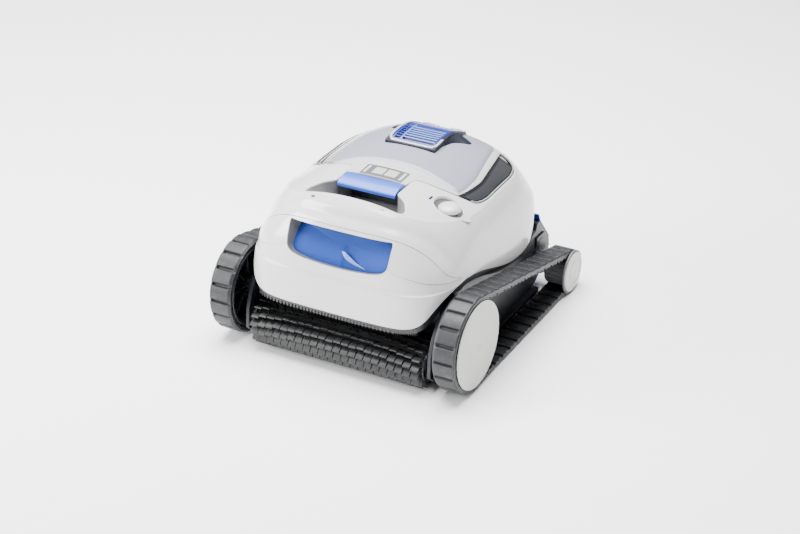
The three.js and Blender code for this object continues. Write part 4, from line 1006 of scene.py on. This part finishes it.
dish_x, dish_y, dish_r = button_x - 2.0, button_y + 1.6, 21.4
bore_r, bore_half = dish_r - 0.6, 14
cutter_mesh = bpy.data.meshes.new("dish_cutter")
verts, faces = spun([(0.0, button_z - bore_half), (bore_r, button_z - bore_half), (bore_r, button_z + bore_half),
                     (0.0, button_z + bore_half)], dish_x, dish_y, 64)
cutter_mesh.from_pydata([tuple(c / 1000.0 for c in v) for v in verts], [], faces)
shape = bmesh.new()
shape.from_mesh(cutter_mesh)
bmesh.ops.remove_doubles(shape, verts=shape.verts, dist=1e-6)
bmesh.ops.dissolve_degenerate(shape, edges=shape.edges, dist=1e-7)
bmesh.ops.recalc_face_normals(shape, faces=shape.faces)
shape.to_mesh(cutter_mesh)
shape.free()
cutter = bpy.data.objects.new("dish_cutter", cutter_mesh)
bpy.context.collection.objects.link(cutter)
bore = hull.modifiers.new("bore", "BOOLEAN")
bore.object = cutter
bore.operation = "DIFFERENCE"
bore.solver = "EXACT"
bpy.context.view_layer.update()
settled = bpy.data.meshes.new_from_object(hull.evaluated_get(bpy.context.evaluated_depsgraph_get()))
hull.modifiers.clear()
hull.data = settled
bpy.data.objects.remove(cutter)
# the hand recess lies in shade: its walls and floor, more than 3.3 mm below the top, are painted grey as painted
# shade
pocket_painted_shade = moulded("pocket_painted_shade", (0.19, 0.193, 0.202), 0.32, grain=0.8, bump=0.006, tone=0.015)
hull.data.materials.append(pocket_painted_shade)
for face in hull.data.polygons:
    fx, fy, fz = face.center * 1000
    if abs(fx) < 80 and -143.5 < fy < -56 and 208 < fz < float(crown_height(fx, fy)) - 3.3:
        face.material_index = 1
lip_profile = [(2.2, 0.10), (1.3, 0.42), (0.5, 0.40), (-0.3, 0.05), (-0.8, -0.8), (-1.1, -2.0), (-1.2, -3.4)]
lip_steps, lip_tail, verts = 96, 9.0, []
for k in range(lip_steps):
    a = 2 * math.pi * k / lip_steps
    for n, (out, up) in enumerate(lip_profile):
        r = dish_r + out + (0.0 if n else lip_tail * max(0.0, math.cos(a - 0.15)) ** 14)
        x, y = dish_x + r * math.cos(a), dish_y + r * math.sin(a)
        verts.append((x, y, float(crown_height(x, y)) + up))
faces = sweep_faces(lip_steps, len(lip_profile))
make("button_lip", verts, faces, "chassis", gloss_white, 70)
# the sunken ring round the button is painted dark grey as painted shade in the dish
dish_painted_shade = moulded("dish_painted_shade", (0.10, 0.103, 0.11), 0.4, grain=0.6, bump=0.01, tone=0.03)
verts = []
for k in range(lip_steps):
    a = 2 * math.pi * k / lip_steps
    for r, down_by in ((dish_r - 0.9, 2.6), (dish_r - 1.5, 3.9), (12.0, 3.9)):
        x, y = dish_x + r * math.cos(a), dish_y + r * math.sin(a)
        verts.append((x, y, float(crown_height(x, y)) - down_by))
faces = sweep_faces(lip_steps, 3)
make("button_dish", verts, faces, "chassis", dish_painted_shade, 60)
verts, faces = spun(dome, button_x, button_y)
knob = make("button_dome", verts, faces, "power_button", gloss_white, 60)
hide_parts("power_button")
lens_glass = moulded("lens_glass", (0.006, 0.012, 0.07), 0.08, grain=1.0, bump=0.001, tone=0.05, coat=0.5)
lens_x, lens_y, lens_r, lens_half = 88, -74, 2.1, 3.4
lens_line = []
for a in np.linspace(0, 2 * np.pi, 33)[:-1]:
    end = lens_half if math.sin(a) > 0 else -lens_half
    lens_line.append((lens_x + lens_r * math.cos(a), lens_y + end + lens_r * math.sin(a)))
verts, faces = slab(lens_line, 240.0, float(crown_height(lens_x, lens_y)) + 0.35, "z")
lens = rounded(make("status_lens", verts, faces, "chassis", lens_glass), 0.4, 3)
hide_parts("led_lens")

# ---------------------------------------------------------------------------------------------
# Filter well: the pump's duct, the impeller, the inlet ducts with their flaps and the basket
# with its blue mesh screens, all dropped in from above.
# ---------------------------------------------------------------------------------------------
duct_black = moulded("duct_black", (0.03, 0.033, 0.04), 0.45, grain=0.7, bump=0.02)
dress(duct_black, "outlet_duct", "inlet_duct_left", "inlet_duct_right")
pump_white = moulded("pump_white", (0.45, 0.46, 0.48), 0.35, grain=0.6, bump=0.01)
dress(pump_white, "impeller")
flap_blue = moulded("flap_blue", (0.03, 0.08, 0.32), 0.4, grain=0.6, bump=0.02)
dress(flap_blue, "inlet_flap_left", "inlet_flap_right", "basket_handle")
basket_grey = moulded("basket_grey", (0.42, 0.44, 0.48), 0.4, grain=0.6, bump=0.015)
dress(basket_grey, "basket_frame")
screen_mesh = moulded("screen_mesh", (0.02, 0.06, 0.26), 0.7, grain=0.4, bump=0.1)
dress(screen_mesh, "basket_screen_front", "basket_screen_rear", "basket_screen_left", "basket_screen_right")

# ---------------------------------------------------------------------------------------------
# Lid: a frosted centre panel between two smoked windows, clipped on a grey frame that turns on
# the two hinge pins behind. A paler band crosses its front and carries a small display plate.
# ---------------------------------------------------------------------------------------------
frosted = moulded("frosted_panel", (0.27, 0.278, 0.335), 0.22, grain=0.5, bump=0.004, tone=0.02, coat=0.3)
smoked = moulded("smoked_window", (0.030, 0.032, 0.036), 0.12, grain=1.0, bump=0.002, tone=0.06, coat=0.6)
smoked_rim = moulded("smoked_rim", (0.012, 0.013, 0.015), 0.2, grain=1.0, bump=0.002, tone=0.06, coat=0.4)
band_white = moulded("lid_band_white", (0.50, 0.50, 0.52), 0.22, grain=0.6, bump=0.004, tone=0.01, coat=0.3)
dress(deck_plastic, "lid_frame")
lid_right = [(0, -72), (47.8, -72), (49.6, -54.5), (51.5, -51), (55, -49.2), (64, -47.2), (85, -44), (112, -34),
             (127.4, -25.6), (134, -19.4), (137.6, -8), (139, 6), (139, 20), (138.8, 40), (138.5, 66), (137.6, 82),
             (135, 96), (131.6, 107), (126, 116), (117.4, 124), (106, 129), (86, 131.4), (60, 132.8), (0, 133)]


def lid_span(x):
    """Front and rear edge of the lid's plan at x."""
    ys = []
    for (xa, ya), (xb, yb) in zip(lid_right, lid_right[1:]):
        if (xa - x) * (xb - x) <= 0 and abs(xb - xa) > 1e-9:
            ys.append(ya + (yb - ya) * (x - xa) / (xb - xa))
    return (min(ys), max(ys)) if ys else (20.0, 20.0)


def lid_edge(y):
    """Right-hand edge of the lid's plan at y."""
    return float(np.interp(y, [p[1] for p in lid_right[7:]], [p[0] for p in lid_right[7:]]))


def crease(y):
    """Half width of the frosted field at y."""
    return float(smooth_table(y, [(-60, 107), (-34, 109), (-10, 112), (17, 111.5), (52, 106), (90, 98.5), (134, 88)]))


def pane_from(y):
    """Inner edge of a smoked window at y."""
    return crease(y) + float(smooth_table(y, [(-40, 2.2), (-24, 3.0), (17, 7.0), (60, 9.5), (100, 10.5), (134, 11)]))


def lid_skin(name, columns, place, cuts, raise_by, paint, skip=None, depth=2.8):
    """A skin of the lid; place(c, y) gives x in column c, cuts(c) gives the rows' y in it."""
    verts, faces = [], []
    for c in columns:
        ys = cuts(c)
        for y in ys:
            x = place(c, y)
            verts.append((x, y, float(crown_height(x, y)) + raise_by(x, y, c)))
    n_rows = len(ys)
    for i in range(len(columns) - 1):
        for j in range(n_rows - 1):
            corners = (i * n_rows + j, (i + 1) * n_rows + j, (i + 1) * n_rows + j + 1, i * n_rows + j + 1)
            if skip and skip(sum(verts[k][0] for k in corners) / 4, sum(verts[k][1] for k in corners) / 4):
                continue
            faces.append(corners)
    piece = make(name, verts, faces, "lid", paint, 50)
    rounded(thick(piece, depth), 0.5, 3, 50)
    return piece


def fold(x):
    """Front edge of the frosted field at x."""
    return float(smooth_table(x, [(-120, -50), (-100, -46), (-78, -39.5), (-56, -31), (-36, -27.5), (23, -25),
                                  (56, -26.5), (93, -29.5), (118, -28)]))


def field_x(c, y):
    """x at share c of the field's half width."""
    return c * crease(y)


def ends_of(c):
    """Front and rear end of a column of the field."""
    a, b = -40.0, 130.0
    for _ in range(12):
        a, b = lid_span(abs(field_x(c, a)))[0], lid_span(abs(field_x(c, b)))[1]
    return a + 0.2, b - 0.2


def fold_of(c):
    """Front edge of a column of the field."""
    y = -30.0
    for _ in range(12):
        y = fold(field_x(c, y))
    return max(y, ends_of(c)[0] + 1.0)


# even columns, and more of them along the vent hole, the hinge notches and the ends
extra_columns = [0.139, 0.281, 0.318, 0.406, 0.425, 0.44, 0.985]
even_columns = {round(-1 + 0.04 * i, 4) for i in range(51)}
field_columns = sorted(even_columns | {sign * c for c in extra_columns for sign in (-1, 1)})


def band_cuts(c):
    """Rows of the band in front of the field."""
    a, f = ends_of(c)[0], fold_of(c)
    return [a + (f - 0.5 - a) * k / 9 for k in range(10)]


band = lid_skin("lid_front_band", field_columns, field_x, band_cuts, lambda x, y, c: 0.0, band_white)
hole_front, hole_rear, hole_half = 36.0, 118.0, 33.0
notch_front, notch_from, notch_to = 126.5, 13.2, 32.0


def field_cuts(c):
    """Rows of the field: close together at its raised edge and along the vent hole."""
    f, b = fold_of(c), ends_of(c)[1]
    ys = [f, f + 0.4, f + 1.4, f + 3.0, f + 5.5]
    ys += [f + 5.5 + (hole_front - f - 5.5) * k / 11 for k in range(1, 11)]
    ys += [hole_front + (hole_rear - hole_front) * k / 14 for k in range(14)]
    ys += [hole_rear + (notch_front - hole_rear) * k / 3 for k in range(3)]
    return ys + [notch_front + (b - notch_front) * k / 3 for k in range(4)]


def field_rise(x, y, c):
    """The field stands proud of the band and drops at its edges."""
    from_edge = min(y - fold(x), (1 - abs(c)) * 110)
    return -0.6 + 2.4 * ease(0, 4.0, from_edge)


def field_gap(x, y):
    """True over the vent hole and over the two hinge knuckles."""
    vent = abs(x) < hole_half and hole_front < y < hole_rear
    hinge = notch_from < abs(x) < notch_to and y > notch_front
    return vent or hinge


field = lid_skin("lid_frosted_field", field_columns, field_x, field_cuts, field_rise, frosted,
                 skip=field_gap)
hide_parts("lid_panel")
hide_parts("lid_panel")
strip_columns = [0, 0.06, 0.2, 0.5, 0.8, 1.0]
pane_columns = [0, 0.03, 0.08, 0.12, 0.16, 0.21, 0.26, 0.34, 0.45, 0.55, 0.66, 0.74, 0.79, 0.84, 0.88, 0.92,
                0.97, 1.0]
pane_rows = (0, 0.006, 0.012, 0.02, 0.03, *np.linspace(0.05, 0.95, 37), 0.965, 0.98, 0.99, 1.0)
tip_y, rear_y = -30.0, 112.0
for side_name, side in (("left", -1), ("right", 1)):
    # the narrow strip between the field and the smoked window
    def strip_x(c, y):
        return side * (crease(y) + 0.5 + (pane_from(y) - crease(y) - 0.8) * c)

    def strip_ends(c):
        a, b = -40.0, 130.0
        for _ in range(12):
            a, b = lid_span(abs(strip_x(c, a)))[0], lid_span(abs(strip_x(c, b)))[1]
        return [a + 0.2 + (b - a - 0.4) * k / 44 for k in range(45)]

    piece = lid_skin(f"lid_side_strip_{side_name}", strip_columns[::side], strip_x, strip_ends,
                     lambda x, y, c: 0.2 + 0.5 * math.sin(math.pi * c), band_white)
    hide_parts("lid_panel")

    # the smoked window: a flat rim with the pane set a little lower inside it
    def pane_x(c, y):
        inner, outer = pane_from(y) + 0.3, lid_edge(y) - 1.6
        return side * (inner + max(outer - inner, 0.05) * c)

    def rows_of(c):
        a = tip_y
        for _ in range(14):
            a = lid_span(min(abs(pane_x(c, a)), 137.0))[0] + 1.6
        return [a + (rear_y - a) * k for k in pane_rows]

    def pane_rise(x, y, c):
        inner, outer = pane_from(y) + 0.3, lid_edge(y) - 1.6
        rimmed = min((y - lid_span(min(abs(x), 137.0))[0] - 1.6) * 0.85, rear_y - y, abs(x) - inner, outer - abs(x))
        return 0.1 - 1.4 * ease(2.4, 3.4, rimmed) + 0.7 * ease(5.2, 6.0, rimmed)

    pane = lid_skin(f"smoked_pane_{side_name}", pane_columns[::side], pane_x, rows_of, pane_rise, smoked)
    pane.data.materials.append(smoked_rim)
    for face in pane.data.polygons:
        mx, my = abs(face.center.x) * 1000, face.center.y * 1000
        near = min((my - lid_span(min(mx, 137.0))[0] - 1.6) * 0.85, rear_y - my,
                   mx - pane_from(my) - 0.3, lid_edge(my) - 1.6 - mx)
        face.material_index = 1 if near < 3.0 else 0
    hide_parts(f"lid_pane_{side_name}")
    # a thin raised bead along the window's outer edge; its pale colour is a painted highlight along that edge
    verts = []
    for k in range(61):
        y = -24.5 + 137.5 * k / 60
        for inner, up in ((1.5, 0.0), (1.1, 0.45), (0.5, 0.3), (0.2, -0.6)):
            x = lid_edge(y) - inner
            verts.append((side * x, y, float(crown_height(x, y)) + up))
    faces = sweep_faces(61, 4, closed=False)
    thick(make(f"pane_highlight_bead_{side_name}", verts, faces, "lid", band_white, 60), 1.2)
display_grey = moulded("display_grey", (0.10, 0.103, 0.115), 0.3, grain=0.6, bump=0.004, tone=0.02, coat=0.3)
display_pale = moulded("display_pale", (0.44, 0.45, 0.42), 0.25, grain=0.6, bump=0.004, tone=0.03, coat=0.3)
display_parts = (("display_plate", (-29, 39, -71.0, -41.5), 0.12, display_grey),
                 ("display_pane_a", (-12.5, 4.5, -64, -46.5), 0.35, display_pale),
                 ("display_pane_b", (7.5, 25, -64, -46.5), 0.35, display_pale),
                 ("display_bar_a", (-25.5, -21.5, -66, -45), 0.35, band_white),
                 ("display_bar_b", (31.6, 35.6, -66, -45), 0.35, band_white))
for name, (xa, xb, ya, yb), up, paint in display_parts:
    verts = []
    for i in range(9):
        for j in range(9):
            x, y = xa + (xb - xa) * i / 8, ya + (yb - ya) * j / 8
            verts.append((x, y, float(crown_height(x, y)) + up))
    faces = sweep_faces(9, 9, closed=False)
    rounded(thick(make(name, verts, faces, "lid", paint, 60), 0.5), 0.15, 2, 50)

# ---------------------------------------------------------------------------------------------
# Outlet: a slate cowl screwed on the lid's back, edged by a silver rim, carries a blue grille of
# slats over the pump's duct. Two feet spread from the cowl on to the frosted panel.
# ---------------------------------------------------------------------------------------------
cowl_slate = moulded("cowl_slate", (0.014, 0.017, 0.027), 0.45, grain=0.6, bump=0.015, tone=0.06, spec=0.2)
grille_blue = moulded("grille_blue", (0.005, 0.022, 0.21), 0.3, grain=0.6, bump=0.008, tone=0.05, coat=0.15)
rim_silver = moulded("rim_silver", (0.42, 0.43, 0.46), 0.25, grain=0.6, bump=0.004, tone=0.02, coat=0.2)
grille_pale = moulded("grille_pale", (0.12, 0.19, 0.52), 0.3, grain=0.6, bump=0.006, tone=0.03, coat=0.15)
grille_deep = moulded("grille_deep", (0.0015, 0.006, 0.05), 0.45, grain=0.6, bump=0.006, tone=0.05)
dress(cowl_slate, "outlet_cowl")


def hump(y):
    """Height of the cowl's back over y."""
    return float(smooth_table(y, [(33, 265.5), (42, 268.6), (58, 270.4), (76, 270.4), (96, 267.6), (114, 261.5),
                                  (130, 254.5), (132, 251.5)]))


def hump_plate(name, outline, up, depth, paint, round_by=0.4):
    """A plate of plan outline (pairs of x edges at growing y) that follows the cowl's back."""
    verts, faces = [], []
    for y, xa, xb in outline:
        for k in range(7):
            verts.append((xa + (xb - xa) * k / 6, y, hump(y) + up))
    for j in range(len(outline) - 1):
        faces += [(j * 7 + k, j * 7 + k + 1, (j + 1) * 7 + k + 1, (j + 1) * 7 + k) for k in range(6)]
    plate = thick(make(name, verts, faces, "lid", paint, 60), depth)
    return rounded(plate, round_by, 2, 50)


def lines(a, b, xa, xb, n=12):
    """Outline of a straight plate from y = a to b between xa and xb."""
    return [(a + (b - a) * k / n, xa, xb) for k in range(n + 1)]


tray = hump_plate("grille_tray", lines(37, 125, -35.6, 35.6, 20), -4.2, 1.2, grille_deep)
solid = hump_plate("grille_rear_plate", lines(84, 125.4, -20, 35.6, 12), -0.4, 2.2, grille_blue, 0.8)
corner = [(84 + 41.4 * k / 12, -35.6 + 1.6 * (k / 12) ** 3, -20.4) for k in range(13)]
hump_plate("grille_rear_wing", corner, -0.7, 2.0, grille_blue, 0.8)
front_bar = [(36.6, -30, 35.6), (37.6, -33, 35.6), (39.4, -34.4, 35.6)]
hump_plate("grille_front_bar", front_bar, -0.2, 2.6, grille_blue)
hump_plate("grille_right_bar", lines(39, 85, 32.4, 35.6), -0.2, 2.6, grille_blue)
hump_plate("grille_left_bar", lines(39, 85, -35.6, -31.4), -0.2, 2.6, grille_blue)
hump_plate("grille_cross_rib", lines(38, 90, -21.6, -19.2), 0.35, 3.0, grille_pale)
for k in range(6):
    y = 44.2 + 6.9 * k
    hump_plate(f"grille_slat_{k}", lines(y, y + 2.6, -19.6, 32.6, 3), -0.1, 1.6, grille_pale)
    hump_plate(f"grille_notch_{k}", lines(y, y + 3.0, -31.8, -23.6, 3), -1.0, 1.6, grille_blue)
for piece in (tray, solid):
    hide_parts("outlet_grille")
rim_path = [(-38.6, 122), (-38.8, 100), (-38.8, 60), (-38.6, 46), (-37.4, 39.6), (-34.4, 36.0), (-29, 34.4),
            (0, 34.0), (29, 34.2), (34.6, 35.2), (37.6, 38.4), (38.6, 43), (38.8, 50), (38.8, 58)]
rim_section = ((-2.2, -1.6), (-1.9, 0.3), (-0.8, 0.95), (0.8, 0.95), (2.0, 0.1), (2.9, -1.8), (2.6, -3.4))
rim_line = curve_through(rim_path, 4, closed=False)
verts = []
for k, (x, y) in enumerate(rim_line):
    ahead, behind = rim_line[min(k + 1, len(rim_line) - 1)], rim_line[max(k - 1, 0)]
    tx, ty = ahead[0] - behind[0], ahead[1] - behind[1]
    size = math.hypot(tx, ty)
    nx, ny = ty / size, -tx / size
    taper = min(1.0, k / 6 + 0.15, (len(rim_line) - 1 - k) / 6 + 0.15)
    for off, up in rim_section:
        px, py = x + nx * -off, y + ny * -off
        verts.append((px, py, min(hump(min(max(py, 33), 131)) + up * taper, 271.2)))
faces = sweep_faces(len(rim_line), len(rim_section), closed=False)
make("cowl_rim", verts, faces, "lid", rim_silver, 60)
foot_path = [(39, 44), (44, 60), (50, 76), (60, 86), (68, 91), (71, 97), (67.5, 102.5), (58, 104), (48, 108),
             (41, 124), (39, 126)]
foot, toe = curve_through(foot_path, 4, closed=False), 3.4
for side_name, side in (("left", -1), ("right", 1)):
    verts = []
    for x, y in foot:
        top = hump(y) - 1.2
        base = float(crown_height(x, y))
        reach_out = (x - 39.0) / 32.0
        for share in np.linspace(0, 1, 8):
            px = 38.9 + (x - 38.9) * share
            sweep = (1 - share) ** 1.7
            lid_z = float(crown_height(px, y))
            up = (top - lid_z - toe) * sweep * (1 - 0.25 * reach_out * share) + toe * (1 - share**3)
            verts.append((side * px, y, lid_z + up + 0.2))
        verts.append((side * (x + 0.1), y, base - 0.6))
    faces = sweep_faces(len(foot), 9, closed=False)
    make(f"cowl_foot_{side_name}", verts, faces, "lid", cowl_slate, 45)

# ---------------------------------------------------------------------------------------------
# Latch: a pale blue lever across the front of the lid, pulled up by its lip to let the lid go.
# ---------------------------------------------------------------------------------------------
latch_blue = moulded("latch_blue", (0.030, 0.10, 0.50), 0.3, grain=0.7, bump=0.004, tone=0.02, coat=0.15)
lever = [(-75.2, 252.2), (-75.2, 255.4), (-76.5, 256.0), (-82, 256.2), (-90, 255.2), (-97, 253.2), (-101.3, 251.2),
         (-102.8, 249.2), (-103, 246.4), (-102.3, 244.6), (-100.8, 244.2), (-99.0, 245.2), (-96.5, 247.6),
         (-90, 249.4), (-81, 250.2)]
lever_half = 46.8
verts, faces = slab(lever, -lever_half, lever_half, "x")
latch = rounded(make("latch_lever", verts, faces, "latch", latch_blue, 30), 1.0, 3, 40)
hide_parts("latch")
